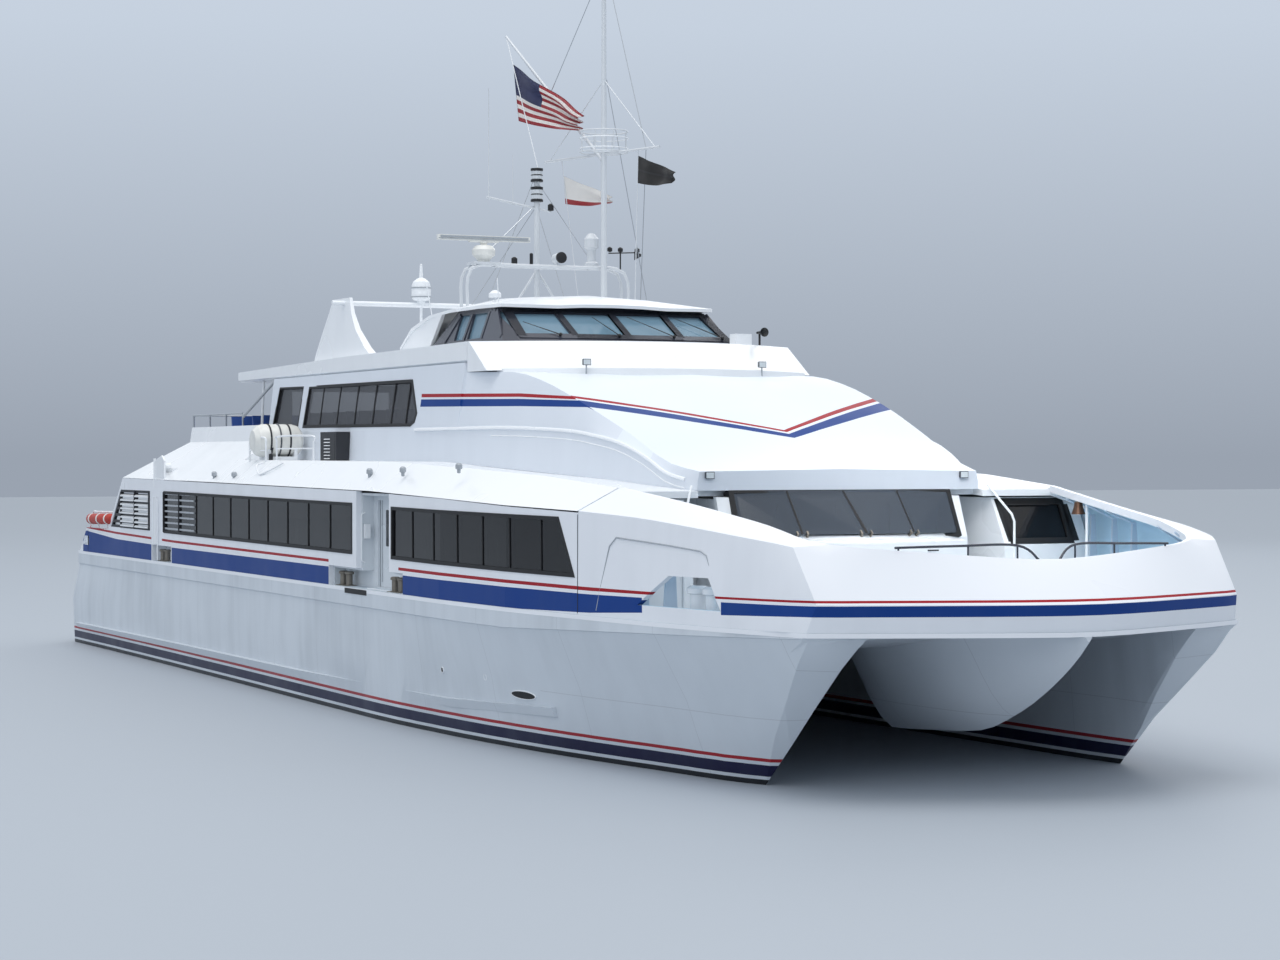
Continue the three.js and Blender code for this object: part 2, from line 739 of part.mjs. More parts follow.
function upperAftWall() {
  const wall = crossPlate(
    [
      [-3.88, UPPER_DECK + GAP],
      [3.88, UPPER_DECK + GAP],
      [3.84, 6],
      [3.7, 7.22],
      [-3.7, 7.22],
      [-3.84, 6],
    ],
    ...UPPER_WALL_X,
  );
  const way = box([-8, -7], UPPER_DOOR.y, UPPER_DOOR.z);
  const panes = [1, -1].map((side) =>
    box([-8, -7], side > 0 ? [0.8, 3.4] : [-3.4, -0.8], [6.1, 7.05]),
  );
  return join(cut(wall, way, ...panes), brackets(UPPER_HINGE));
}

// Canopy over the upper deck. Columns: x, half width, edge top z, centre top z.
const CANOPY_UNDER = UPPER_HEAD + GAP;
const CANOPY = [
  [-11.3, 3.5, 7.46, 7.47],
  [-10.9, 3.78, 7.62, 7.66],
  [-3, 3.78, 7.74, 7.84],
  [5.44 - GAP, 3.78, CANOPY_Z, 7.86],
];

// The wheelhouse floor lies in a well in the canopy, with the stair way up from the upper cabin.
const WELL = { x: [1.0, 5.05], y: [-2.25, 2.25], floor: 7.42 };
const STAIR_WAY = { x: [1.05, 1.95], y: [-0.5, 0.5] };

function canopy() {
  const slab = symmetric(
    loft(
      CANOPY.map(([x, half, edge, centre]) => [
        [x, -half + 0.1, CANOPY_UNDER],
        [x, -half, CANOPY_UNDER + 0.05],
        [x, -half, edge],
        [x, 0, centre],
        [x, half, edge],
        [x, half, CANOPY_UNDER + 0.05],
        [x, half - 0.1, CANOPY_UNDER],
      ]),
    ),
  );
  return cut(slab, box(WELL.x, WELL.y, [WELL.floor, 9]), box(STAIR_WAY.x, STAIR_WAY.y, [7, 9]));
}

// The raked brow under the wheelhouse windows, bowed forward in plan.
const BROW = { half: 3.76, foot: [6.51, 8.27], head: [5.52, 7.1], z: [7.165, CANOPY_Z] };

function brow() {
  const shares = [-1, -0.75, -0.5, -0.25, 0, 0.25, 0.5, 0.75, 1];
  return loft(
    shares.map((share) => {
      const y = share * BROW.half;
      const bow = ([end, centre]) => between(centre, end, share * share);
      return [
        [5.445, y, BROW.z[0]],
        [bow(BROW.foot), y, BROW.z[0]],
        [bow(BROW.head), y, BROW.z[1]],
        [5.445, y, BROW.z[1]],
      ];
    }),
  );
}

// Wheelhouse walls: plan outlines at the sill and at the head, half of each.
const WHEELHOUSE_FOOT = [
  [0.4, 2.2],
  [0.6, 2.7],
  [4.85, 2.72],
  [5.3, 2.55],
  [5.5, 1.3],
];
const WHEELHOUSE_HEAD = [
  [1.5, 2.1],
  [1.6, 2.48],
  [3.85, 2.5],
  [4.0, 2.4],
  [4.2, 1.25],
];

function wheelhouseOutline(inward, low, high) {
  const ring = (half, z) => {
    const place = ([x, y]) => [x + (x < 2 ? inward : -inward), y - inward, z];
    const port = half.map(place);
    return [...port, ...port.toReversed().map(([x, y, h]) => [x, -y, h])];
  };
  const rings = [
    [0, WHEELHOUSE_SILL],
    [1, WHEELHOUSE_TOP],
  ].map(([share, z]) => ring(share ? WHEELHOUSE_HEAD : WHEELHOUSE_FOOT, z));
  const at = (z) => (z - WHEELHOUSE_SILL) / (WHEELHOUSE_TOP - WHEELHOUSE_SILL);
  const slice = (z) => rings[0].map((p, i) => p.map((v, k) => between(v, rings[1][i][k], at(z))));
  return loft([slice(low), slice(high)]);
}

const WHEELHOUSE_FRAME = 0.05;
const WHEELHOUSE_LIGHTS = { low: 7.97, high: 8.52 };

function wheelhouse() {
  const raised = (body) => body.translate([0, 0, GAP]);
  const shell = cut(
    wheelhouseOutline(0, WHEELHOUSE_SILL - 0.2, WHEELHOUSE_TOP + 0.2),
    wheelhouseOutline(WHEELHOUSE_FRAME, WHEELHOUSE_SILL - 0.2, WHEELHOUSE_TOP + 0.2),
    raised(canopy()),
    raised(brow()),
    aboveWheelhouse(),
  );
  const { low, high } = WHEELHOUSE_LIGHTS;
  const paneHalf = 0.58;
  const frontPanes = [-1.92, -0.64, 0.64, 1.92].map((y) =>
    box([3.4, 6.5], [y - paneHalf, y + paneHalf], [low, high]),
  );
  const sidePanes = [
    [1.9, 2.6],
    [2.7, 3.6],
  ].map((x) => box(x, [-4, 4], [low, high]));
  return symmetric(cut(shell, ...frontPanes, ...sidePanes));
}

function wheelhouseGlass() {
  const depth = WHEELHOUSE_FRAME + GAP;
  const { low, high } = WHEELHOUSE_LIGHTS;
  const shell = cut(
    wheelhouseOutline(depth, WHEELHOUSE_SILL - 0.2, WHEELHOUSE_TOP + 0.2),
    wheelhouseOutline(depth + 0.03, WHEELHOUSE_SILL - 0.2, WHEELHOUSE_TOP + 0.2),
  );
  return symmetric(shell.intersect(box([-2, 8], [-4, 4], [low - 0.04, high + 0.02])));
}

// Wheelhouse roof. Columns: x, half width, edge z, centre z, all of the upper face.
const WHEELHOUSE_ROOF = [
  [-1.5, 2.7, 7.95, 8.0],
  [-0.7, 2.72, 8.36, 8.5],
  [0.4, 2.7, 8.6, 8.92],
  [1.6, 2.66, 8.68, 9.04],
  [3.2, 2.6, 8.69, 8.97],
  [4.3, 2.52, 8.68, 8.78],
  [4.5, 1.3, 8.66, 8.7],
];
const ROOF_SKIN = 0.07;

function wheelhouseRings(lift, under) {
  return WHEELHOUSE_ROOF.map(([x, half, edge, centre]) => {
    const knee = between(edge, centre, 0.75);
    const upper = [
      [x, -half, edge],
      [x, -half * 0.55, knee],
      [x, 0, centre],
      [x, half * 0.55, knee],
      [x, half, edge],
    ];
    return [
      ...upper.map(([px, y, z]) => [px, y, z + lift]),
      ...upper.toReversed().map(([px, y, z]) => [px, y, under(z)]),
    ];
  });
}

// All that lies below the wheelhouse roof's upper face, and all above its underside, with the gap.
const belowWheelhouseTop = () => symmetric(loft(wheelhouseRings(GAP, () => 7)));
const aboveWheelhouse = () => symmetric(loft(wheelhouseRings(2, (z) => z - ROOF_SKIN - GAP)));

// The roof with the swept cheeks that carry its after end down to the canopy.
const CHEEK = [
  [-1.45, 7.7],
  [0.2, 7.7],
  [1.2, 8.62],
  [0.4, 8.58],
  [-0.7, 8.34],
  [-1.45, 7.96],
];

function wheelhouseRoof() {
  const shell = loft(wheelhouseRings(0, (z) => z - ROOF_SKIN));
  const cheek = sidePlate(CHEEK, 2.6, 2.68);
  const whole = join(shell, cut(cheek, shell.translate([0, 0, 0.5])));
  return symmetric(cut(whole, canopy().translate([0, 0, GAP]), box([-3, 5], [-4, 4], [7, 7.8])));
}

// Front wall of the main-deck cabin: a bowed centre with raked windows, a doorway in a recess either
// side of it, and a wing out to each bulwark.
const FRONT = {
  centreHalf: 2.55,
  centreFoot: 15.45,
  cornerFoot: 14.75,
  centreHead: 14.4,
  sill: 3.92,
  head: 4.81,
  doorX: 13.2,
  wingInner: 3.25,
  wingOuter: 5.13,
  wingFoot: 14.95,
  wingHead: 14.5,
  wingSill: 3.75,
  roofUnderside: 4.64,
};
const FLOOR = MAIN_DECK + GAP;
const DOOR_LEAF = { y: [2.43, 2.97], z: [MAIN_DECK + 0.04, 4.5] };
const FOREDECK_HINGE = {
  x: FRONT.doorX + 0.08 + DOOR_CLEARANCE + LEAF,
  y: DOOR_LEAF.y[1] + HINGE.offEdge,
  wallX: FRONT.doorX + 0.04,
  toLeaf: -1,
  heights: [2.95, 4.15],
};

function frontCentre() {
  const f = FRONT;
  return loft(
    [-1, -0.5, 0, 0.5, 1].map((share) => {
      const y = share * f.centreHalf;
      const foot = between(f.centreFoot, f.cornerFoot, Math.abs(share));
      return [
        [foot, y, FLOOR],
        [foot, y, f.sill],
        [f.centreHead, y, f.head],
        [f.centreHead - 0.1, y, f.head],
        [foot - PLATE, y, f.sill],
        [foot - PLATE, y, FLOOR],
      ];
    }),
  );
}

// All that lies ahead of the centre wall's inner face, with the gap.
function aheadOfFront() {
  const f = FRONT;
  const clear = 17;
  return loft(
    [-1, -0.5, 0, 0.5, 1].map((share) => {
      const y = share * (f.centreHalf + GAP);
      const inner = between(f.centreFoot, f.cornerFoot, Math.abs(share)) - PLATE - GAP;
      return [
        [clear, y, FLOOR - 1],
        [clear, y, f.sill],
        [clear, y, f.head],
        [f.centreHead - 0.1 - GAP, y, f.head],
        [inner, y, f.sill],
        [inner, y, FLOOR - 1],
      ];
    }),
  );
}

function frontWall() {
  const f = FRONT;
  const paneHalf = 0.52;
  const centrePanes = [-1.72, -0.575, 0.575, 1.72].map((y) =>
    box([13.9, 16], [y - paneHalf, y + paneHalf], [3.99, 4.72]),
  );
  const cheek = loft(
    [
      [f.doorX, 2.34],
      [f.cornerFoot - 0.06, f.centreHalf],
    ].map(([x, y]) => [
      [x, y, FLOOR],
      [x, y, f.roofUnderside],
      [x, y - 0.1, f.roofUnderside],
      [x, y - 0.1, FLOOR],
    ]),
  );
  const rakeTrim = sidePlate(
    [
      [f.cornerFoot, f.sill],
      [16, f.sill],
      [16, 6],
      [f.centreHead - 0.32, 6],
    ],
    -4,
    4,
  );
  const doorWall = cut(
    box([f.doorX, f.doorX + 0.08], [2.25, 3.2], [FLOOR, f.roofUnderside]),
    box([13, 14], [2.48, 2.92], [MAIN_DECK + 0.06, 4.44]),
  );
  const wingSide = loft(
    [
      [f.doorX, 3.1],
      [f.wingHead, f.wingInner - 0.03],
      [f.wingFoot, f.wingInner],
    ].map(([x, y], i) => [
      [x, y, FLOOR],
      [x, y, i === 2 ? f.wingSill : f.roofUnderside],
      [x, y + 0.1, i === 2 ? f.wingSill : f.roofUnderside],
      [x, y + 0.1, FLOOR],
    ]),
  );
  const wingFront = cut(
    sidePlate(
      [
        [f.wingFoot, FLOOR],
        [f.wingFoot, f.wingSill],
        [f.wingHead, f.roofUnderside],
        [f.wingHead - 0.1, f.roofUnderside],
        [f.wingFoot - 0.1, f.wingSill],
        [f.wingFoot - 0.1, FLOOR],
      ],
      f.wingInner,
      f.wingOuter,
    ),
    box([14, 16], [3.45, 4.75], [3.83, 4.56]),
  );
  const wing = join(cut(cheek, rakeTrim), doorWall, wingSide, wingFront, brackets(FOREDECK_HINGE));
  return {
    centre: symmetric(cut(frontCentre(), ...centrePanes, aboveLining())),
    wing: cut(wing, aboveLining(), aheadOfFront()),
  };
}

function frontGlass() {
  const f = FRONT;
  const line = (foot, z) => between(foot, f.centreHead, (z - f.sill) / (f.head - f.sill)) - PLATE - 0.03;
  const sheet = loft(
    [-1, -0.5, 0, 0.5, 1].map((share) => {
      const y = share * f.centreHalf;
      const foot = between(f.centreFoot, f.cornerFoot, Math.abs(share));
      return [
        [line(foot, 3.93), y, 3.93],
        [line(foot, 4.6), y, 4.6],
        [line(foot, 4.6) - GLASS_THICK, y, 4.6],
        [line(foot, 3.93) - GLASS_THICK, y, 3.93],
      ];
    }),
  );
  const clear = frontCentre().translate([-2 * GAP, 0, 0]);
  return symmetric(cut(sheet.intersect(box([13, 16], [-2.2, 2.2], [3, 5])), clear));
}

// A hinged leaf that opens forwards from the recess. Its hinge runs up its outboard edge.
function foredeckDoor() {
  const face = FOREDECK_HINGE.x;
  return join(box([face - LEAF, face], DOOR_LEAF.y, DOOR_LEAF.z), knuckles(FOREDECK_HINGE));
}

// Bulwark round the foredeck. Columns: foot x and y, band top x and y, knuckle (x, y, z),
// cap (x, y, z), and the inward direction of its thickness (x, y).
const BAND_TOP = 3.1;
const BULWARK = [
  [14.66, 5.34, 14.66, 5.34, 14.66, 5.33, 4.46, 14.66, 4.54, 4.86, 0, -1],
  [16.5, 5.1, 16.5, 5.11, 16.45, 5.07, 4.38, 16.4, 4.25, 4.64, 0, -1],
  [18, 4.87, 18.02, 4.87, 17.9, 4.82, 4.26, 17.75, 4.08, 4.46, -0.2, -1],
  [19.3, 4.58, 19.38, 4.56, 19.1, 4.52, 4.13, 18.95, 3.94, 4.29, -0.45, -0.9],
  [20.64, 4.12, 20.8, 4.03, 20.15, 4.09, 3.98, 19.98, 3.7, 4.07, -0.85, -0.5],
  [21.06, 3.3, 21.2, 3.25, 20.72, 3.22, 3.68, 20.5, 3.2, 3.98, -1, -0.15],
  [21.58, 2.1, 21.7, 2.08, 21.22, 2.06, 3.64, 21, 2.05, 3.89, -1, 0],
  [22, 1, 22.12, 1, 21.56, 1, 3.59, 21.25, 1, 3.81, -1, 0],
  [22.18, 0.3, 22.28, 0.3, 21.68, 0.3, 3.57, 21.34, 0.3, 3.77, -1, 0],
];
const BULWARK_THICK = 0.1;
const CAP_LIP = 0.13; // the cap turns down inboard by this much
const BOW_PORT = [
  [16.55, 2.92],
  [18.85, 2.92],
  [18.5, 3.44],
  [17.45, 3.44],
];

function bulwark() {
  const ring = ([footX, footY, bandX, bandY, kneeX, kneeY, kneeZ, capX, capY, capZ, inX, inY]) => {
    const inner = ([x, y, z]) => [x + inX * BULWARK_THICK, y + inY * BULWARK_THICK, z];
    const outer = [
      [footX, footY, FLOOR],
      [bandX, bandY, BAND_TOP],
      [kneeX, kneeY, kneeZ],
      [capX, capY, capZ],
    ];
    const lip = inner([capX, capY, capZ - CAP_LIP]);
    const [foot, band, knee, cap] = outer.map(inner);
    return [...outer, cap, lip, knee, band, foot];
  };
  const footRun = (a, b) => Math.hypot(b[0] - a[0], b[1] - a[1]);
  const port = faired(BULWARK, 0.62, footRun).map(ring);
  const starboard = port.map((points) => points.map(([x, y, z]) => [x, -y, z])).toReversed();
  const shell = loft([...port, ...starboard]);
  return symmetric(cut(shell, sidePlate(BOW_PORT, -6, 6)));
}

// Aft part of the roof: the open upper deck with its casing sides. Columns: x at the foot, x at the
// head, foot z.
const CASING = { headY: 4.36, headZ: 5.8, railY: 4.3, top: 6.2, wall: 0.08, floorUnder: 5.2 };
const CASING_ENDS = [
  [-15.3, -13.5, 4.83],
  [-6.3 - GAP, -6.3 - GAP, 4.78],
];

function aftRoof() {
  const c = CASING;
  const body = loft(
    CASING_ENDS.map(([footX, headX, footZ]) => {
      const half = [
        [footX, SIDE_Y, footZ],
        [headX, c.headY, c.headZ],
        [headX, c.railY, c.top],
        [headX, c.railY - c.wall, c.top],
        [headX, c.railY - c.wall, UPPER_DECK],
      ];
      const under = [
        [headX, c.headY - 0.2, c.floorUnder],
        [footX, SIDE_Y - 0.15, footZ],
      ];
      const flip = ([x, y, z]) => [x, -y, z];
      return [...half, ...half.toReversed().map(flip), ...under.toReversed().map(flip), ...under];
    }),
  );
  const endWall = crossPlate(
    [
      [-c.railY, c.floorUnder + 0.02],
      [c.railY, c.floorUnder + 0.02],
      [c.railY, c.top],
      [-c.railY, c.top],
    ],
    -13.5,
    -13.42,
  );
  const raftEnd = box([-6.38, -6.3 - GAP], [4.05, 4.3], [UPPER_DECK - 0.02, c.top]);
  return symmetric(join(body, endWall, raftEnd));
}

// Rail round the after end of the upper deck.
function upperRail() {
  const y = CASING.railY - CASING.wall / 2;
  const z = 6.52;
  const foot = CASING.top + GAP;
  const [front, back] = [-8.9, -13.46];
  const bar = 0.025;
  const posts = [];
  for (const x of [front, -10.4, -11.9]) posts.push([x, y], [x, -y]);
  for (const share of [-1, -0.5, 0, 0.5, 1]) posts.push([back, share * y]);
  return join(
    rod([front, y, z], [back, y, z], bar, bar, 8),
    rod([front, -y, z], [back, -y, z], bar, bar, 8),
    rod([back, -y - bar, z], [back, y + bar, z], bar, bar, 8),
    ...posts.map(([x, side]) => rod([x, side, foot], [x, side, z], bar, bar, 8)),
    ...[1, -1].map((side) =>
      rod([front, side * y, z - 0.1], [-8.3, side * 3.6, CANOPY_UNDER - 0.03], 0.04, 0.04, 8),
    ),
  );
}

// Liferaft canister lying across the deck on its cradle.
const RAFT = { x: -4.6, y: 4.72, z: 5.79, radius: 0.4, length: 1.2 };

function canister(grow = 0) {
  const { radius, length } = RAFT;
  const profile = [
    [0, -length / 2 - grow],
    [radius * 0.62, -length / 2 - grow],
    [radius * 0.9 + grow, -length / 2 + 0.1],
    [radius + grow, -length / 2 + 0.24],
    [radius + grow, length / 2 - 0.24],
    [radius * 0.9 + grow, length / 2 - 0.1],
    [radius * 0.62, length / 2 + grow],
    [0, length / 2 + grow],
  ];
  const geometry = new THREE.LatheGeometry(profile.map(([r, h]) => new THREE.Vector2(r, h)), 18);
  geometry.translate(RAFT.x, RAFT.y, RAFT.z);
  return solid(geometry);
}

function cradle() {
  const { x, y } = RAFT;
  const block = join(
    box([x - 0.34, x + 0.34], [y - 0.42, y - 0.34], [UPPER_DECK - 0.02, 5.6]),
    box([x - 0.34, x + 0.34], [y + 0.24, y + 0.32], [UPPER_DECK - 0.02, 5.6]),
    box([x - 0.34, x - 0.26], [y - 0.42, y + 0.32], [UPPER_DECK - 0.02, UPPER_DECK + 0.08]),
    box([x + 0.26, x + 0.34], [y - 0.42, y + 0.32], [UPPER_DECK - 0.02, UPPER_DECK + 0.08]),
  );
  return cut(block, canister(GAP));
}

// After mast arch: a fin either side with a tube across.
const FIN_Y = 3.4;
const FIN = [
  [7.6, -5.15, -1.0, 0.22],
  [7.95, -5.0, -1.75, 0.18],
  [8.4, -4.66, -2.45, 0.14],
  [8.8, -4.35, -2.8, 0.1],
  [9.18, -4.06, -2.95, 0.07],
];

const CROSSBAR = { x: -3.3, z: 9.06, radius: 0.06, domeY: -1.5 };

function afterMast() {
  const fin = loft(
    FIN.map(([z, aft, fore, half]) => [
      [aft, FIN_Y - half, z],
      [fore, FIN_Y - half * 0.5, z],
      [fore, FIN_Y + half * 0.5, z],
      [aft, FIN_Y + half, z],
    ]),
  );
  const { x, z, radius, domeY } = CROSSBAR;
  const end = FIN_Y + 0.35;
  const bar = rod([x, -end, z], [x, end, z], radius);
  const posts = [-1.5, 1.5].map((y) => rod([x, y, 7.5], [x, y, z], 0.035));
  const dome = turned(
    [
      [0, 0],
      [0.1, 0],
      [0.1, 0.1],
      [0.19, 0.12],
      [0.23, 0.18],
      [0.24, 0.42],
      [0.2, 0.56],
      [0.1, 0.64],
      [0.05, 0.66],
      [0.03, 0.98],
      [0, 1],
    ],
    [x, domeY, z],
  );
  return cut(join(fin, mirrored(fin), bar, ...posts, dome), canopy().translate([0, 0, GAP]));
}

// Radar arch on the wheelhouse roof: two parallel hoops, with the short mast behind them.
const ARCH = { x: [0.62, 1.0], half: 2.0, top: 9.76, bend: 0.35, radius: 0.04 };
const SHORT_MAST = { x: 0.3, top: 12.05 };

function arch() {
  const { half, top, bend, radius } = ARCH;
  const hoops = ARCH.x.map((x) =>
    tube(
      [
        [x, -half, 8.4],
        [x, -half, 8.9],
        [x, -half, top - bend],
        [x, -half + 0.1, top - 0.1],
        [x, -half + bend, top],
        [x, -0.8, top],
        [x, 0.8, top],
        [x, half - bend, top],
        [x, half - 0.1, top - 0.1],
        [x, half, top - bend],
        [x, half, 8.9],
        [x, half, 8.4],
      ],
      radius,
      8,
      30,
    ),
  );
  const [aft, fore] = ARCH.x;
  const rungs = [-1.6, -1.2, 0.3, 1.15, 1.6].map((y) =>
    box([aft, fore], [y - 0.04, y + 0.04], [top - 0.03, top + 0.03]),
  );
  const shelf = box([aft - 0.05, fore + 0.05], [-1.85, -1.2], [top, top + 0.06]);
  const mast = rod([SHORT_MAST.x, 0, 8.4], [SHORT_MAST.x, 0, SHORT_MAST.top], 0.07);
  const bracket = box([SHORT_MAST.x, aft + 0.02], [-0.05, 0.05], [top - 0.04, top + 0.04]);
  const lanterns = [
    [11.32, 11.62],
    [11.78, 12.05],
  ].map(([low, high]) => rod([SHORT_MAST.x, 0, low], [SHORT_MAST.x, 0, high], 0.13, 0.13, 12));
  const arm = rod([SHORT_MAST.x, 0.35, 11.08], [SHORT_MAST.x, -1.25, 11.36], 0.025, 0.025, 6);
  const whips = [
    [-1.2, 11.3, 13.85, 0.016],
    [-0.6, 11.2, 12.35, 0.014],
  ].map(([y, low, high, r]) => rod([SHORT_MAST.x, y, low], [SHORT_MAST.x, y, high], r, r * 0.6, 6));
  const struts = [-1, 1].map((side) =>
    rod([SHORT_MAST.x, 0, 9.72], [SHORT_MAST.x, side * 0.75, 8.6], 0.03, 0.03, 6),
  );
  const satcom = turned(
    [
      [0, 0],
      [0.17, 0],
      [0.17, 0.1],
      [0.1, 0.14],
      [0.1, 0.4],
      [0.17, 0.46],
      [0.17, 0.66],
      [0.08, 0.78],
      [0, 0.8],
    ],
    [0.81, 1.15, top + 0.02],
    12,
  );
  const lamp = rod([0.72, 0.3, top + 0.2], [1.0, 0.3, top + 0.22], 0.12, 0.12, 12);
  const lampPost = rod([0.81, 0.3, top], [0.81, 0.3, top + 0.2], 0.04, 0.04, 8);
  const onArch = [...rungs, shelf, bracket, satcom, lamp, lampPost];
  const onMast = [...lanterns, arm, ...whips, ...struts];
  return cut(join(...hoops, mast, ...onArch, ...onMast), belowWheelhouseTop());
}

const RADAR = { x: 0.81, y: -1.53, foot: ARCH.top + 0.06 + GAP, turntable: 10.24 };

function radarPedestal() {
  return turned(
    [
      [0, 0],
      [0.13, 0],
      [0.15, 0.05],
      [0.26, 0.16],
      [0.27, 0.28],
      [0.2, 0.37],
      [0.07, 0.4],
      [0.07, RADAR.turntable - RADAR.foot],
      [0, RADAR.turntable - RADAR.foot],
    ],
    [RADAR.x, RADAR.y, RADAR.foot],
  );
}

function radarScanner() {
  const { x, y, turntable } = RADAR;
  const low = turntable + GAP;
  return join(
    rod([x, y, low], [x, y, low + 0.06], 0.09, 0.09, 12),
    box([x - 0.06, x + 0.06], [y - 0.35, y + 0.35], [low + 0.03, low + 0.07]),
    box([x - 0.05, x + 0.07], [y - 1.12, y + 1.12], [low + 0.06, low + 0.18]),
  );
}

// Main mast to port of the arch, with its spreader, basket, gaff and lifts.
const MAST = { x: 1.12, y: 1.33, top: 17.2 };
const SPREADER = { z: 12.38, aft: 2.1, fore: 1.9, turn: 0.27, radius: 0.035 };
const GAFF_PEAK = [-2, 0.18, 15.46];
const STAY_RADIUS = 0.012;
const spreaderAt = (reach) => [MAST.x + reach, MAST.y + reach * SPREADER.turn, SPREADER.z];

// Flags on their halyards: the halyard's head and foot, the heights of the hoist, and the two
// corners of the fly, top first.
const FLAGS = {
  ensign: {
    head: GAFF_PEAK,
    foot: [0.32, 0.02, SHORT_MAST.top + 0.01],
    hoist: [14.72, 13.33],
    fly: [
      [0.88, 0.94, 13.27],
      [0.73, 0.9, 12.94],
    ],
  },
  after_signal_flag: {
    head: spreaderAt(-1.5),
    foot: [0.15, 1.18, 8.6],
    hoist: [12, 11.34],
    fly: [
      [1.06, 1.56, 11.42],
      [1.06, 1.56, 11.26],
    ],
  },
  forward_signal_flag: {
    head: spreaderAt(1.18),
    foot: [2.15, 1.63, 8.6],
    hoist: [12.24, 11.62],
    fly: [
      [3.39, 2.09, 11.78],
      [3.28, 2.05, 11.54],
    ],
  },
};

function mainMast() {
  const { x, y, top } = MAST;
  const pole = rod([x, y, 8.4], [x, y, top], 0.08, 0.05);
  const foot = rod([x, y, 8.4], [x, y, 9.06], 0.16, 0.14, 12);
  const spreader = rod(spreaderAt(-SPREADER.aft), spreaderAt(SPREADER.fore), SPREADER.radius, 0.03, 8);
  const ringZ = [SPREADER.z + 0.04, SPREADER.z + 0.52];
  const radius = 0.55;
  const rings = ringZ.map((z) => {
    const torus = new THREE.TorusGeometry(radius, 0.018, 6, 16);
    torus.translate(x, y, z);
    return solid(torus);
  });
  const around = (turn, z) => [x + radius * Math.cos(turn), y + radius * Math.sin(turn), z];
  const bars = [0, 1, 2, 3, 4, 5, 6, 7].map((i) => {
    const turn = (i / 8) * 2 * Math.PI;
    return rod(around(turn, ringZ[0]), around(turn, ringZ[1]), 0.014, 0.014, 6);
  });
  const floor = [0.26, 0.26 + Math.PI / 2].map((turn) =>
    rod(around(turn, ringZ[0]), around(turn + Math.PI, ringZ[0]), 0.018, 0.018, 6),
  );
  const gaff = rod([x, y, 12.2], GAFF_PEAK, 0.045, 0.03, 8);
  const stay = (from, to) => rod(from, to, STAY_RADIUS, STAY_RADIUS, 6);
  const lifts = [-SPREADER.aft + 0.15, SPREADER.fore - 0.15].map((reach) =>
    stay([x, y, 14.1], spreaderAt(reach)),
  );
  const halyards = Object.values(FLAGS).map((rig) => stay(rig.head, rig.foot));
  const whole = join(pole, foot, spreader, ...rings, ...bars, ...floor, gaff, ...lifts, ...halyards);
  return cut(whole, belowWheelhouseTop());
}

// A flag as a thin slab that stands off its halyard by a hair.
function flag({ head, foot, hoist, fly }) {
  const [top, low] = hoist.map((z) => {
    const share = (z - head[2]) / (foot[2] - head[2]);
    return head.map((v, i) => between(v, foot[i], share));
  });
  const slope = Math.abs(head[2] - foot[2]) / Math.hypot(...head.map((v, i) => v - foot[i]));
  const run = Math.hypot(fly[0][0] - top[0], fly[0][1] - top[1]);
  const away = [(fly[0][0] - top[0]) / run, (fly[0][1] - top[1]) / run];
  const clear = (STAY_RADIUS + 0.7 * GAP) / slope;
  const corners = [
    [top[0] + away[0] * clear, top[1] + away[1] * clear, top[2]],
    [low[0] + away[0] * clear, low[1] + away[1] * clear, low[2]],
    fly[1],
    fly[0],
  ];
  const half = 0.012;
  return loft(
    [-half, half].map((side) => corners.map(([x, y, z]) => [x - away[1] * side, y + away[0] * side, z])),
  );
}

// Water-jet units on the transoms.
const JET = { y: 4.4, z: 0.15, pivotX: -20.85, bucketX: -21.1 };

function jetHousing() {
  const face = TRANSOM_X - GAP;
  return join(
    rod([face, JET.y, JET.z], [face - 0.12, JET.y, JET.z], 0.46, 0.44, 20),
    rod([face - 0.1, JET.y, JET.z], [-20.95, JET.y, JET.z], 0.24, 0.19, 20),
  );
}

function jetNozzle() {
  const ringAt = ([x, r]) => {
    const points = [];
    for (let i = 0; i < 20; i++) {
      const turn = (i / 20) * 2 * Math.PI;
      points.push([x, JET.y + r * Math.cos(turn), JET.z + r * Math.sin(turn)]);
    }
    return points;
  };
  // Columns: x, radius.
  const outside = [
    [-20.74, 0.385],
    [-21.15, 0.37],
    [-21.36, 0.31],
  ];
  const inside = [
    [-20.6, 0.33],
    [-21.0, 0.33],
    [-21.5, 0.24],
  ];
  const outer = loft(outside.map(ringAt));
  const bore = loft(inside.map(ringAt));
  const { pivotX, bucketX, y, z } = JET;
  const pins = [1, -1].map((side) =>
    rod([pivotX, y, z + side * 0.36], [pivotX, y, z + side * 0.2028], 0.03, 0.03, 8),
  );
  const ears = [1, -1].map((side) =>
    rod([bucketX, y + side * 0.35, z], [bucketX, y + side * 0.394, z], 0.07, 0.07, 12),
  );
  return join(cut(outer, bore), ...pins, ...ears);
}

function jetBucket() {
  const { bucketX: px, y, z } = JET;
  const arc = (r, from, to, steps) => {
    const points = [];
    for (let i = 0; i <= steps; i++) {
      const turn = THREE.MathUtils.degToRad(between(from, to, i / steps));
      points.push([px - r * Math.cos(turn), z + r * Math.sin(turn)]);
    }
    return points;
  };
  const shell = sidePlate([...arc(0.56, 25, 98, 8), ...arc(0.5, 98, 25, 8)], y - 0.43, y + 0.43);
  const cheekOutline = [[px + 0.05, z - 0.07], [px - 0.1, z - 0.07], ...arc(0.53, 27, 96, 6)];
  const cheek = (from, to) => sidePlate(cheekOutline, from, to);
  return join(shell, cheek(y - 0.43, y - 0.394 - GAP), cheek(y + 0.394 + GAP, y + 0.43));
}

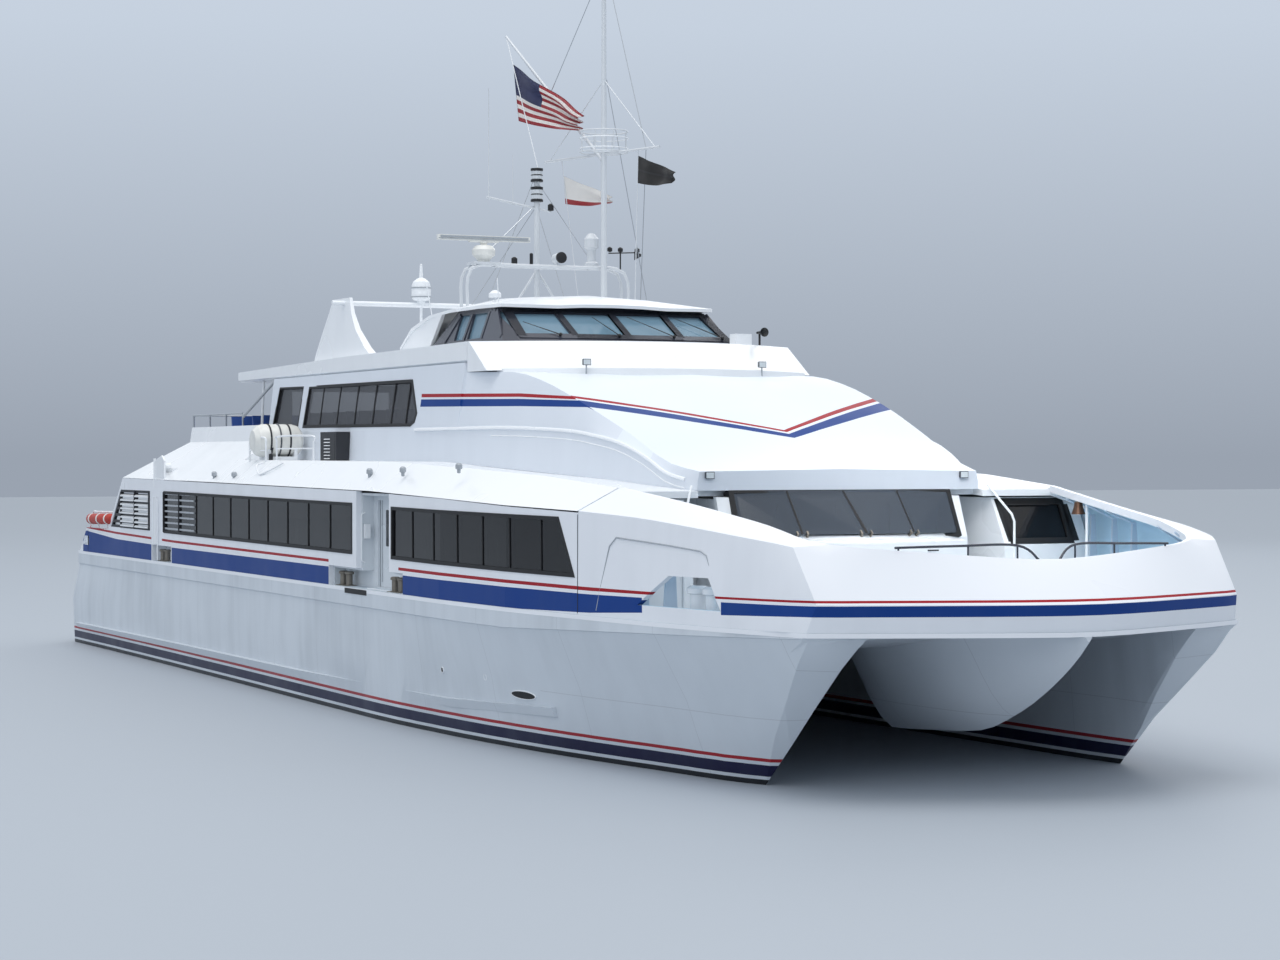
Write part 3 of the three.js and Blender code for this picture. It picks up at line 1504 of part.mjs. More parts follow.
// After wall of the enclosed main-deck cabin, with a doorway on the centre line.
const AFT_WALL_X = [-10.2, -10.12];
const AFT_DOOR = { y: [-0.5, 0.5], z: [MAIN_DECK + 0.04, 4.72] };
const AFT_HINGE = {
  x: AFT_WALL_X[0] - DOOR_CLEARANCE - LEAF,
  y: AFT_DOOR.y[1] + HINGE.offEdge,
  wallX: AFT_WALL_X[0] + 0.04,
  toLeaf: -1,
  heights: [2.95, 4.35],
};

function aftWall() {
  const wall = crossPlate(
    [
      [-SIDE_Y + PLATE + GAP, FLOOR],
      [SIDE_Y - PLATE - GAP, FLOOR],
      [SIDE_Y - PLATE - GAP, 4.76],
      [4.1, 5.19],
      [-4.1, 5.19],
      [-SIDE_Y + PLATE + GAP, 4.76],
    ],
    ...AFT_WALL_X,
  );
  const way = box([-12, -10], [-0.44, 0.44], [MAIN_DECK + 0.06, 4.66]);
  return join(cut(wall, way), brackets(AFT_HINGE));
}

function aftDoor() {
  return join(box([AFT_HINGE.x, AFT_HINGE.x + LEAF], AFT_DOOR.y, AFT_DOOR.z), knuckles(AFT_HINGE));
}

function upperDoor() {
  const leaf = box([UPPER_HINGE.x, UPPER_HINGE.x + LEAF], UPPER_LEAF.y, UPPER_LEAF.z);
  return join(leaf, knuckles(UPPER_HINGE));
}

pair("hull", join(hull(), sprayRail()), WHITE);
piece("bridge_and_centre_bow", bridge(), WHITE);
piece("main_deck", mainDeck(), GREY);
pair("aft_side_wall", aftSide(), WHITE);
pair("forward_side_wall", forwardSide(), WHITE);
pair("door_recess", doorRecess(), GREY);
pair("boarding_door", sideDoor(), GREY);
pair("aft_side_glass", aftGlass(), GLASS);
pair("forward_side_glass", forwardGlass(), GLASS);
pair("side_louvres", louvres(), DARK);
piece("foredeck_bulwark", bulwark(), WHITE);
piece("cabin_front_wall", frontWall().centre, WHITE);
pair("foredeck_wing_wall", frontWall().wing, WHITE);
piece("cabin_front_glass", frontGlass(), GLASS);
pair("foredeck_door", foredeckDoor(), WHITE);
piece("cabin_after_wall", aftWall(), WHITE);
piece("cabin_after_door", aftDoor(), WHITE);
piece("main_cabin_roof", forwardRoof(), WHITE);
piece("upper_deck_casing", aftRoof(), WHITE);
piece("upper_deck_rail", upperRail(), STEEL);
piece("upper_cabin", upperCabin(), WHITE);
piece("forward_hood", hood(), WHITE);
pair("upper_side_glass", upperGlass(UPPER_WINDOWS), GLASS);
piece("upper_after_wall", upperAftWall(), WHITE);
piece("upper_after_door", upperDoor(), WHITE);
piece("canopy", canopy(), WHITE);
piece("wheelhouse_brow", brow(), WHITE);
piece("wheelhouse_walls", wheelhouse(), DARK);
piece("wheelhouse_glass", wheelhouseGlass(), GLASS);
piece("wheelhouse_roof", wheelhouseRoof(), WHITE);
piece("after_mast", afterMast(), WHITE);
piece("radar_arch", arch(), WHITE);
piece("radar_pedestal", radarPedestal(), WHITE);
piece("radar_scanner", radarScanner(), WHITE);
piece("main_mast", mainMast(), WHITE);
piece("ensign", flag(FLAGS.ensign), RED);
piece("after_signal_flag", flag(FLAGS.after_signal_flag), WHITE);
piece("forward_signal_flag", flag(FLAGS.forward_signal_flag), BLUE);
pair("liferaft", canister(), WHITE);
pair("jet_housing", jetHousing(), STEEL);
pair("jet_nozzle", jetNozzle(), STEEL);
pair("jet_bucket", jetBucket(), STEEL);

export default ship;
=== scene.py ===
# %% [markdown]
# # A fast passenger catamaran, finished in Blender
# The shapes that carry the ship come packed from the construction model: hulls, decks, cabins, doors,
# masts and water jets. This lesson gives each of them its real finish and adds what is too fine for a
# construction model, such as window bars, rails, lamps, rigging and cloth.

# %% Load the frame
import math

import bmesh
import bpy
from mathutils import Matrix, Vector


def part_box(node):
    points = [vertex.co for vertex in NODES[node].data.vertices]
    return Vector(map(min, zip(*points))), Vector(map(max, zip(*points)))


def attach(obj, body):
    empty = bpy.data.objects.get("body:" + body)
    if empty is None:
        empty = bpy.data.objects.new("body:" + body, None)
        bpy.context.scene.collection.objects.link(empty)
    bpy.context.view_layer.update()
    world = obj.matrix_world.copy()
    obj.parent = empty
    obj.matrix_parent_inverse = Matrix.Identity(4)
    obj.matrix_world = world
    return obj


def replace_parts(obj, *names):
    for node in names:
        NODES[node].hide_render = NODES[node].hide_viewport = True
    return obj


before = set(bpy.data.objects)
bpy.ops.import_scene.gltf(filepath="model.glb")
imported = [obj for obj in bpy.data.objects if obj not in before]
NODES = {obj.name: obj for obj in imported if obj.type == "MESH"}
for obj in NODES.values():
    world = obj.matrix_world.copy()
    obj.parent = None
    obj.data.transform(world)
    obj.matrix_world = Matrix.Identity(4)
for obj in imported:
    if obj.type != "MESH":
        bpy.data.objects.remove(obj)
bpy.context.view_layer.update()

# %% [markdown]
# The ship is built at half size. Tables in this lesson hold metres of the real ship, because those are
# the sizes a shipyard works in, and one factor brings them to the model: 1.0 m on the ship is 0.5 m
# here. +X is the bow, +Y port, +Z up, and the waterline is at height 0.

# %% Scale and sides
MODEL = 0.5
SIDES = {"port": 1, "starboard": -1}
MAIN_DECK = 2.66  # the main deck's top, in metres above the water
UPPER_DECK = 5.33


def at(x, y, z):
    """A place on the real ship, in metres, as a point of the model."""
    return Vector((x, y, z)) * MODEL


print("1 m on the ship is", MODEL, "m here")

# %% [markdown]
# The camera stands low off the starboard bow, as someone on a pier would, and looks along the hull.
# Its place comes first, since every later picture is judged through it.

# %% Camera
CAMERA_PLACE = (28.285, -11.98, 2.70)
CAMERA_TURN = 25.3  # degrees between the ship's length and the line of sight
CAMERA_DIP = 0.5
LENS_MM = 74.25
FILM_MM = 36

turn, dip = math.radians(CAMERA_TURN), math.radians(CAMERA_DIP)
sight = Vector((-math.cos(turn) * math.cos(dip), math.sin(turn) * math.cos(dip), -math.sin(dip)))
camera = bpy.data.objects.new("camera", bpy.data.cameras.new("camera"))
camera.location = CAMERA_PLACE
camera.rotation_mode = "QUATERNION"
camera.rotation_quaternion = sight.to_track_quat("-Z", "Y")
camera.data.lens = LENS_MM
camera.data.sensor_width = FILM_MM
camera.data.clip_end = 500
bpy.context.scene.collection.objects.link(camera)
bpy.context.scene.camera = camera
print("camera", LENS_MM, "mm")

# %% [markdown]
# Colours are picked as sRGB hex values, the way a paint maker lists them, and shaders work in linear
# light, so one function turns them over. One more adds a shader node with its settings and its links,
# which keeps each material readable as a list of steps. Paint goes on in coats, each over the last
# where a mask says so.


# %% Colour and node helpers
def linear(hex_colour):
    """An sRGB hex colour as linear red, green, blue and alpha."""
    channels = [int(hex_colour[i : i + 2], 16) / 255 for i in (1, 3, 5)]
    return [c / 12.92 if c <= 0.04045 else ((c + 0.055) / 1.055) ** 2.4 for c in channels] + [1.0]


def add(tree, kind, inputs=None, **settings):
    """Add one node to a tree, with its settings, and with each input set or linked."""
    made = tree.nodes.new(kind)
    for name, value in settings.items():
        setattr(made, name, value)
    for key, value in (inputs or {}).items():
        if isinstance(value, bpy.types.NodeSocket):
            tree.links.new(value, made.inputs[key])
        else:
            made.inputs[key].default_value = value
    return made


def start_material(name, colour, **inputs):
    """A material with one shader, whose plain values are set on its own sockets."""
    material = bpy.data.materials.new(name)
    material.use_nodes = True
    tree = material.node_tree
    tree.nodes.clear()
    values = {key.replace("_", " "): value for key, value in inputs.items()}
    shader = add(tree, "ShaderNodeBsdfPrincipled", {"Base Color": linear(colour), **values})
    add(tree, "ShaderNodeOutputMaterial", {"Surface": shader.outputs[0]})
    return material, tree, shader


def paint_over(tree, ground, mask, colour):
    """A second paint over the first where the mask is 1."""
    made = add(tree, "ShaderNodeMix", {0: mask, 6: ground, 7: linear(colour)}, data_type="RGBA")
    return made.outputs[2]


print("helpers ready")

# %% [markdown]
# The floor is plain and pale and lies at the waterline, so the hulls pass through it as they would
# through still water.

# %% Floor
FLOOR_HALF = 150


def make_floor():
    corners = [(x, y, 0) for x, y in ((-1, -1), (1, -1), (1, 1), (-1, 1))]
    mesh = bpy.data.meshes.new("floor")
    mesh.from_pydata([Vector(c) * FLOOR_HALF for c in corners], [], [(0, 1, 2, 3)])
    floor = bpy.data.objects.new("floor", mesh)
    bpy.context.scene.collection.objects.link(floor)
    material, _, _ = start_material("pale_studio_floor", "#A8B0B9", Roughness=0.6)
    mesh.materials.append(material)


make_floor()
print("floor", FLOOR_HALF * 2, "m wide")

# %% [markdown]
# Overcast daylight has no hard shadows, but it isn't even: the sky overhead is three times as bright as
# at the horizon. That makes decks and sloping roofs shine and leaves upright plate a cool grey, so the
# sky here rises from grey to white with height.

# %% Sky
# Columns: height in the sky (the sine of its angle), colour.
SKY = [(0.0, "#9AA3B0"), (0.16, "#C6D1DF"), (0.45, "#E6EDF6"), (1.0, "#FFFFFF")]
SKY_STRENGTH = 1.0
world = bpy.data.worlds.new("overcast")
bpy.context.scene.world = world
world.use_nodes = True
sky_tree = world.node_tree
direction = add(sky_tree, "ShaderNodeTexCoord")
sky_height = add(sky_tree, "ShaderNodeSeparateXYZ", {0: direction.outputs["Generated"]})
sky_ramp = add(sky_tree, "ShaderNodeValToRGB", {0: sky_height.outputs["Z"]})
while len(sky_ramp.color_ramp.elements) < len(SKY):
    sky_ramp.color_ramp.elements.new(0.5)
for stop, (height, colour) in zip(sky_ramp.color_ramp.elements, SKY):
    stop.position = height
    stop.color = linear(colour)
sky_tree.links.new(sky_ramp.outputs[0], sky_tree.nodes["Background"].inputs["Color"])
sky_tree.nodes["Background"].inputs["Strength"].default_value = SKY_STRENGTH
print("sky of", len(SKY), "tones")

# %% [markdown]
# One very large soft light overhead, one ahead and one astern add a little direction. A small one over
# the foredeck stands for the light that its white walls throw to and fro.

# %% Soft lights
# Columns: name, place, what it points at, size, power in watts, width of its beam in degrees.
LIGHTS = [
    ("cloud_above", (6, -6, 46), (1, 0, 2), 34, 7000, 180),
    ("cloud_ahead", (36, -38, 20), (3, 0, 2), 24, 1500, 180),
    ("cloud_astern", (-36, 30, 26), (-3, 0, 2), 24, 1500, 180),
    ("cloud_foredeck", (10.4, -0.6, 5.2), (8.0, 1.0, 1.9), 2.5, 17, 55),
]
for name, place, aim, size, power, beam in LIGHTS:
    light = bpy.data.lights.new(name, "AREA")
    light.shape = "DISK"
    light.size = size
    light.energy = power
    light.spread = math.radians(beam)
    holder = bpy.data.objects.new(name, light)
    holder.location = place
    holder.visible_camera = False
    holder.rotation_mode = "QUATERNION"
    holder.rotation_quaternion = (Vector(aim) - Vector(place)).to_track_quat("-Z", "Y")
    bpy.context.scene.collection.objects.link(holder)
bpy.context.scene.view_settings.view_transform = "Standard"
print("lights", [row[0] for row in LIGHTS])

# %% [markdown]
# Paint is worked out on the ship's own metres, so that a pattern has its real size and runs on from one
# plate to the next. Three small sets of nodes give them: the place in metres, the same place as three
# numbers, and how far a face looks up.


# %% Places on the ship
def ship_metres(tree):
    """Object coordinates in metres of the real ship."""
    place = add(tree, "ShaderNodeTexCoord").outputs["Object"]
    scale = (1 / MODEL, 1 / MODEL, 1 / MODEL)
    return add(tree, "ShaderNodeMapping", {"Vector": place, "Scale": scale}).outputs[0]


def ship_axes(tree):
    """The same place as three numbers: metres along, across and up."""
    return add(tree, "ShaderNodeSeparateXYZ", {0: ship_metres(tree)}).outputs[:]


def upward(tree):
    """How far a face looks up, from -1 to 1."""
    normal = add(tree, "ShaderNodeNewGeometry").outputs["Normal"]
    return add(tree, "ShaderNodeSeparateXYZ", {0: normal}).outputs["Z"]


print("patterns are drawn in metres of the ship, 1 for", MODEL, "m here")

# %% [markdown]
# Marine enamel over welded aluminium is the finish of nearly everything here. Seen close it is not one
# flat white: thin plate pulls in a little between its frames, rain and salt leave faint upright
# streaks, and the gloss is uneven. Three noises make these: broad dents for the bump, tall thin ones
# for the streaks, and wide patches for the gloss, which also say where the streaks are strong.

# %% Enamel on plate
FRAME_SPACING = 1.2  # metres between a hull's frames
DENT_DEPTH = 0.004  # metres, on the real plate
DENT_LIFT = 6  # the noise is gentle, so its depth is drawn this many times
STREAKS_PER_METRE = (2.2, 2.2, 0.28)  # narrow along the plate, long down it
PATCHES_PER_METRE = 0.35
RAIN_DIRT = "#6F7880"


def weather_paint(tree, shader, colour, dents=1.0, streaks=0.06, roughness=0.22):
    """Plate dents, streaks and uneven gloss on a paint whose colour is linear values or a socket."""
    metres = ship_metres(tree)
    tall = add(tree, "ShaderNodeMapping", {"Vector": metres, "Scale": STREAKS_PER_METRE}).outputs[0]
    rain = add(tree, "ShaderNodeTexNoise", {"Vector": tall, "Scale": 1.0, "Detail": 4.0}).outputs[0]
    wide = {"Vector": metres, "Scale": PATCHES_PER_METRE, "Detail": 3.0}
    cloud = add(tree, "ShaderNodeTexNoise", wide).outputs[0]
    dirt = add(tree, "ShaderNodeMath", {0: rain, 1: cloud}, operation="MULTIPLY").outputs[0]
    reach = {"Value": dirt, "From Min": 0.16, "From Max": 0.42, "To Max": streaks}
    stain = add(tree, "ShaderNodeMapRange", reach).outputs[0]
    lying = add(tree, "ShaderNodeMath", {0: upward(tree)}, operation="ABSOLUTE").outputs[0]
    reach = {"Value": lying, "From Max": 0.6, "To Min": 1.0, "To Max": 0.0}
    upright = add(tree, "ShaderNodeMapRange", reach).outputs[0]
    shade = add(tree, "ShaderNodeMath", {0: stain, 1: upright}, operation="MULTIPLY").outputs[0]
    tree.links.new(paint_over(tree, colour, shade, RAIN_DIRT), shader.inputs["Base Color"])
    reach = {"From Min": 0.3, "From Max": 0.7, "To Min": roughness * 0.85, "To Max": roughness * 1.4}
    gloss = add(tree, "ShaderNodeMapRange", {"Value": cloud, **reach})
    tree.links.new(gloss.outputs[0], shader.inputs["Roughness"])
    plate = add(tree, "ShaderNodeTexNoise", {"Vector": metres, "Scale": 1 / FRAME_SPACING, "Detail": 1.0})
    depth = DENT_DEPTH * DENT_LIFT * dents * MODEL
    bump = add(tree, "ShaderNodeBump", {"Height": plate.outputs[0], "Strength": 1.0, "Distance": depth})
    tree.links.new(bump.outputs[0], shader.inputs["Normal"])


def painted_metal(name, colour, **finish):
    """Enamel of one colour on aluminium plate."""
    material, tree, shader = start_material(name, colour, IOR=1.5)
    weather_paint(tree, shader, linear(colour), **finish)
    return material


white_enamel = painted_metal("white_enamel_on_aluminium", "#F1F4F7", dents=0.5, streaks=0.05)
grey_enamel = painted_metal("grey_enamel_on_aluminium", "#A9AFB5", dents=0.4, streaks=0.12)
recess_enamel = painted_metal("pale_grey_recess_enamel", "#D9DFE4", dents=0.4, streaks=0.06)
mast_enamel = painted_metal("mast_enamel", "#D9DDE1", dents=0.1, streaks=0.12)
frame_enamel = painted_metal("dark_grey_window_frame_enamel", "#3B3E49", dents=0.1, streaks=0.1)
print("enamels made")

# %% [markdown]
# Stripes are painted, not shaped, so they belong in the material. A stripe lies between two edges.
# Each edge is a height along the ship, read from a short table, and the stripe shows only on faces
# that look outwards, never on the inner side of a bulwark.


# %% Stripe helpers
def edge_height(tree, x, table):
    """Height of a painted edge at x, read along a table of (x, z)."""
    heights = [z for _, z in table]
    x0, x1, z0, z1 = table[0][0], table[-1][0], min(heights) - 0.01, max(heights) + 0.01
    share = add(tree, "ShaderNodeMapRange", {"Value": x, "From Min": x0, "From Max": x1})
    curve = add(tree, "ShaderNodeFloatCurve", {"Value": share.outputs[0]})
    points = curve.mapping.curves[0].points
    while len(points) < len(table):
        points.new(0.5, 0.5)
    for point, (px, pz) in zip(points, table):
        point.location = ((px - x0) / (x1 - x0), (pz - z0) / (z1 - z0))
        point.handle_type = "VECTOR"
    curve.mapping.update()
    made = add(tree, "ShaderNodeMapRange", {"Value": curve.outputs[0], "To Min": z0, "To Max": z1})
    return made.outputs[0]


def between_edges(tree, value, low, high):
    """1 where the value lies between two edges, each a number or a socket."""
    over = add(tree, "ShaderNodeMath", {0: value, 1: low}, operation="GREATER_THAN").outputs[0]
    under = add(tree, "ShaderNodeMath", {0: value, 1: high}, operation="LESS_THAN").outputs[0]
    return add(tree, "ShaderNodeMath", {0: over, 1: under}, operation="MULTIPLY").outputs[0]


INSIDE = (12, 0, 3)  # a place that the inner faces of the side and the bulwark look towards


def outward_mask(tree):
    """1 on faces that look away from the ship's inside."""
    normal = add(tree, "ShaderNodeNewGeometry").outputs["Normal"]
    place = add(tree, "ShaderNodeTexCoord").outputs["Object"]
    arm = add(tree, "ShaderNodeVectorMath", {0: place, 1: tuple(at(*INSIDE))}, operation="SUBTRACT")
    ends = {0: arm.outputs[0], 1: normal}
    out = add(tree, "ShaderNodeVectorMath", ends, operation="DOT_PRODUCT").outputs["Value"]
    return add(tree, "ShaderNodeMath", {0: out, 1: 0.0}, operation="GREATER_THAN").outputs[0]


print("stripe helpers ready")

# %% [markdown]
# The hulls carry the boot stripes: a thin red line, a white gap, a navy band, a white line, and the
# dark underwater paint, all level with the water. The plating above them shows more dents than the
# rest of the ship, because it is the thinnest. Its welds are faint grey lines: upright ones at even
# steps, and a level one along the bow.

# %% Hull paint
NAVY = "#15163C"
STRIPE_RED = "#A3232C"
BAND_BLUE = "#193F86"
# A stripe seen along the plate would drown in the sky's reflection under a full gloss.
HULL_SATIN = {"IOR": 1.5, "Specular_IOR_Level": 0.25}
# Columns: low edge, high edge, colour. Heights in metres above the water.
BOOT_STRIPES = [
    (-5.0, 0.09, "#23262B"),
    (0.15, 0.35, NAVY),
    (0.41, 0.47, STRIPE_RED),
]
HULL_WHITE = "#D3DAE1"
WELD_GREY = "#C3C9D0"
PLATE_LENGTH = 3.1  # metres between the upright welds
WELD_SHARE = 0.004  # share of that length that a weld line takes
BOW_WELD_FROM, BOW_WELD_Z = 12.6, 1.16
WELD_BEAD = 0.014


def hull_paint():
    material, tree, shader = start_material("white_hull_enamel_with_boot_stripes", HULL_WHITE, **HULL_SATIN)
    x, _, z = ship_axes(tree)
    plates = add(tree, "ShaderNodeMath", {0: x, 1: 1 / PLATE_LENGTH}, operation="MULTIPLY").outputs[0]
    share = add(tree, "ShaderNodeMath", {0: plates}, operation="FRACT").outputs[0]
    weld = between_edges(tree, share, 0.5, 0.5 + WELD_SHARE)
    colour = paint_over(tree, linear(HULL_WHITE), weld, WELD_GREY)
    for low, high, paint in BOOT_STRIPES:
        colour = paint_over(tree, colour, between_edges(tree, z, low, high), paint)
    forward = add(tree, "ShaderNodeMath", {0: x, 1: BOW_WELD_FROM}, operation="GREATER_THAN").outputs[0]
    level = between_edges(tree, z, BOW_WELD_Z, BOW_WELD_Z + WELD_BEAD)
    bow_weld = add(tree, "ShaderNodeMath", {0: forward, 1: level}, operation="MULTIPLY").outputs[0]
    colour = paint_over(tree, colour, bow_weld, WELD_GREY)
    weather_paint(tree, shader, colour, dents=1.1, streaks=0.2, roughness=0.34)
    return material


hull_enamel = hull_paint()
print("boot stripes", len(BOOT_STRIPES))

# %% [markdown]
# Along the side of the main deck runs the livery: a broad blue band with a thin red line over it, and
# white between them. The band stops at the boarding recess, at the mooring recesses and at the
# opening in the bow, so its stretches are listed. Inside the foredeck's bulwark the paint is a pale
# blue, drawn deeper than the paint itself as painted shade on those shaded faces, but for the lip of its
# cap.

# %% Side livery
# Columns: x, z.
BLUE_LOW = [(-20.3, 2.6), (4.0, 2.5), (7.0, 2.53), (12.1, 2.65), (15.0, 2.71), (17.0, 2.81)]
BLUE_LOW += [(20.5, 2.91), (22.4, 2.92)]
BLUE_HIGH = [(-20.3, 3.3), (-16.0, 3.12), (-10.0, 3.06), (7.0, 3.04), (15.0, 3.03), (18.9, 3.07)]
BLUE_HIGH += [(22.4, 3.095)]
RED_LOW = [(-20.3, 3.36), (-16.0, 3.26), (-10.0, 3.19), (7.0, 3.13), (15.0, 3.09), (18.9, 3.12)]
RED_LOW += [(22.4, 3.14)]
RED_HIGH = [(-20.3, 3.42), (-16.0, 3.32), (-10.0, 3.25), (7.0, 3.19), (15.0, 3.153), (18.9, 3.158)]
RED_HIGH += [(22.4, 3.178)]
CAP_LIP_LOW = [(14.6, 4.72), (16.4, 4.5), (17.75, 4.32), (18.95, 4.15), (20.0, 3.93), (22.4, 3.6)]
# Columns: from x, to x.
BLUE_STRETCHES = [(-19.9, -12.25), (-10.25, 2.4), (6.75, 16.7), (18.85, 24.0)]
RED_STRETCHES = [(-19.9, -12.25), (-11.2, 2.4), (6.75, 17.05), (18.65, 24.0)]
SIDE_WHITE = "#EBEEF3"
SIDE_SATIN = {"IOR": 1.5, "Specular_IOR_Level": 0.08}
# Pale blue paint, made deeper as painted shade for the shaded inner faces.
INNER_BLUE_WITH_SHADE = "#BEDCEE"
FOREDECK_FROM = 13.5  # the pale blue is used ahead of this x only
OVER_ALL = 9.0  # a height above everything in this paint


def stretches_mask(tree, x, stretches):
    """1 inside any of the listed stretches of x."""
    total = None
    for low, high in stretches:
        mask = between_edges(tree, x, low, high)
        if total is not None:
            mask = add(tree, "ShaderNodeMath", {0: total, 1: mask}, operation="MAXIMUM").outputs[0]
        total = mask
    return total


def livery_paint():
    material, tree, shader = start_material("white_side_enamel_with_blue_band", SIDE_WHITE, **SIDE_SATIN)
    x, _, z = ship_axes(tree)
    outside = outward_mask(tree)
    lip = between_edges(tree, z, edge_height(tree, x, CAP_LIP_LOW), OVER_ALL)
    aft = add(tree, "ShaderNodeMath", {0: x, 1: FOREDECK_FROM}, operation="LESS_THAN").outputs[0]
    # Painted shade: the inner faces start from the deepened pale blue.
    colour = linear(INNER_BLUE_WITH_SHADE)
    for white in (lip, aft, outside):
        colour = paint_over(tree, colour, white, SIDE_WHITE)
    for low, high, stretches, paint in (
        (BLUE_LOW, BLUE_HIGH, BLUE_STRETCHES, BAND_BLUE),
        (RED_LOW, RED_HIGH, RED_STRETCHES, STRIPE_RED),
    ):
        mask = between_edges(tree, z, edge_height(tree, x, low), edge_height(tree, x, high))
        for limit in (stretches_mask(tree, x, stretches), outside):
            mask = add(tree, "ShaderNodeMath", {0: mask, 1: limit}, operation="MULTIPLY").outputs[0]
        colour = paint_over(tree, colour, mask, paint)
    weather_paint(tree, shader, colour, dents=0.6, streaks=0.07, roughness=0.32)
    return material


side_enamel = livery_paint()
print("livery stretches", len(BLUE_STRETCHES))

# %% [markdown]
# The upper cabin wears a thinner pair of stripes that runs level along its side, turns over the edge
# of the hood and meets in a point on the centre line. On the side the edges are heights; on the sloping
# top they are lines across the deck, so the material picks one rule or the other by which way a face
# looks.

# %% Upper stripes
# Columns: x, z on the cabin's side.
UPPER_RED_HIGH = [(2.5, 6.77), (7.9, 6.67), (10.2, 6.56), (11.0, 6.5)]
UPPER_RED_LOW = [(2.5, 6.695), (7.9, 6.6), (10.2, 6.505), (11.0, 6.44)]
UPPER_BLUE_HIGH = [(2.5, 6.65), (7.9, 6.56), (10.2, 6.485), (11.0, 6.42)]
UPPER_BLUE_LOW = [(2.5, 6.49), (8.1, 6.41), (10.6, 6.35), (11.2, 6.2)]
# Columns: colour, low and high edge on the side, then the two edges on the hood, each given as x on the
# centre line and how far it falls back for each metre to the side.
UPPER_STRIPES = [
    (STRIPE_RED, UPPER_RED_LOW, UPPER_RED_HIGH, (12.3, 0.725), (12.41, 0.7)),
    (BAND_BLUE, UPPER_BLUE_LOW, UPPER_BLUE_HIGH, (12.5, 0.69), (12.71, 0.62)),
]
UPPER_STRIPES_FROM = 3.1
# Painted shade: upright flanks are painted greyer than the top, for the light from above that they miss.
LIT_TOP_WHITE, SHADED_FLANK_WHITE = "#E3EAF1", "#DCE2EA"
HOOD_SATIN = {"IOR": 1.5, "Specular_IOR_Level": 0.1}
LOOKS_UP = 0.7  # a face that looks up by more than this is painted as the lit top, the rest as the shaded flank


def hood_paint():
    material, tree, shader = start_material("white_upper_enamel_with_chevron_and_painted_flank_shade", LIT_TOP_WHITE, **HOOD_SATIN)
    x, y, z = ship_axes(tree)
    top = add(tree, "ShaderNodeMath", {0: upward(tree), 1: LOOKS_UP}, operation="GREATER_THAN").outputs[0]
    aside = add(tree, "ShaderNodeMath", {0: y}, operation="ABSOLUTE").outputs[0]
    ahead = add(tree, "ShaderNodeMath", {0: x, 1: UPPER_STRIPES_FROM}, operation="GREATER_THAN").outputs[0]
    # Painted light and shade: the top is painted whiter and the flanks greyer.
    colour = paint_over(tree, linear(SHADED_FLANK_WHITE), top, LIT_TOP_WHITE)
    for paint, low, high, *chevron in UPPER_STRIPES:
        side = between_edges(tree, z, edge_height(tree, x, low), edge_height(tree, x, high))
        level = add(tree, "ShaderNodeMath", {0: side, 1: ahead}, operation="MULTIPLY").outputs[0]
        lines = []
        for start, fall in chevron:
            back = add(tree, "ShaderNodeMath", {0: aside, 1: -fall, 2: start}, operation="MULTIPLY_ADD")
            lines.append(back.outputs[0])
        point = between_edges(tree, x, *lines)
        mask = add(tree, "ShaderNodeMix", {0: top, 2: level, 3: point}, data_type="FLOAT")
        colour = paint_over(tree, colour, mask.outputs[0], paint)
    weather_paint(tree, shader, colour, dents=0.5, streaks=0.05, roughness=0.4)
    return material


upper_enamel = hood_paint()
print("chevron point at x =", UPPER_STRIPES[-1][-1][0], "m")

# %% [markdown]
# Deck paint has grit rolled into it, so it is matt and rough under the foot. Grit of 1 mm would be far
# too fine to show, so it is drawn at 20 mm. The plate's edge is plain white.

# %% Deck paint
GRIT_DRAWN = 0.02  # metres
WEAR_PER_METRE = 0.8  # worn patches


def deck_paint():
    material, tree, shader = start_material("non_slip_deck_paint", "#C4CED6", Roughness=0.8, IOR=1.5)
    metres = ship_metres(tree)
    grit = add(tree, "ShaderNodeTexNoise", {"Vector": metres, "Scale": 1 / GRIT_DRAWN, "Detail": 2.0})
    wide = {"Vector": metres, "Scale": WEAR_PER_METRE, "Detail": 5.0}
    wear = add(tree, "ShaderNodeTexNoise", wide)
    worn = paint_over(tree, linear("#B4C0CA"), wear.outputs[0], "#CDD6DC")
    bump = add(tree, "ShaderNodeBump", {"Height": grit.outputs[0], "Strength": 0.6, "Distance": 0.002})
    edge = add(tree, "ShaderNodeMath", {0: upward(tree), 1: 0.5}, operation="LESS_THAN").outputs[0]
    tree.links.new(paint_over(tree, worn, edge, SIDE_WHITE), shader.inputs["Base Color"])
    tree.links.new(bump.outputs[0], shader.inputs["Normal"])
    return material


deck_finish = deck_paint()
print("deck grit drawn at", GRIT_DRAWN * 1000, "mm")

# %% [markdown]
# Window glass on ferries looks nearly black from outside, and float glass is so smooth that it
# shows the sky as a mirror would. A dark body under a clear gloss gives both. A little of the cabin
# behind it shows through, and a very gentle wave in the glass bends the mirrored sky.

# %% Tinted glass
# Share of the light that each tint stops.
CABIN_TINT, SMOKED_TINT, BRIDGE_TINT, FRONT_TINT = 0.82, 0.62, 0.55, 0.86


def tinted_glass(name, colour, stops):
    material, tree, shader = start_material(name, colour, Roughness=0.04, IOR=1.52)
    metres = ship_metres(tree)
    wave = add(tree, "ShaderNodeTexNoise", {"Vector": metres, "Scale": 0.9, "Detail": 1.0})
    bump = add(tree, "ShaderNodeBump", {"Height": wave.outputs[0], "Strength": 0.5, "Distance": 0.004})
    tree.links.new(bump.outputs[0], shader.inputs["Normal"])
    shader.inputs["Alpha"].default_value = stops
    return material


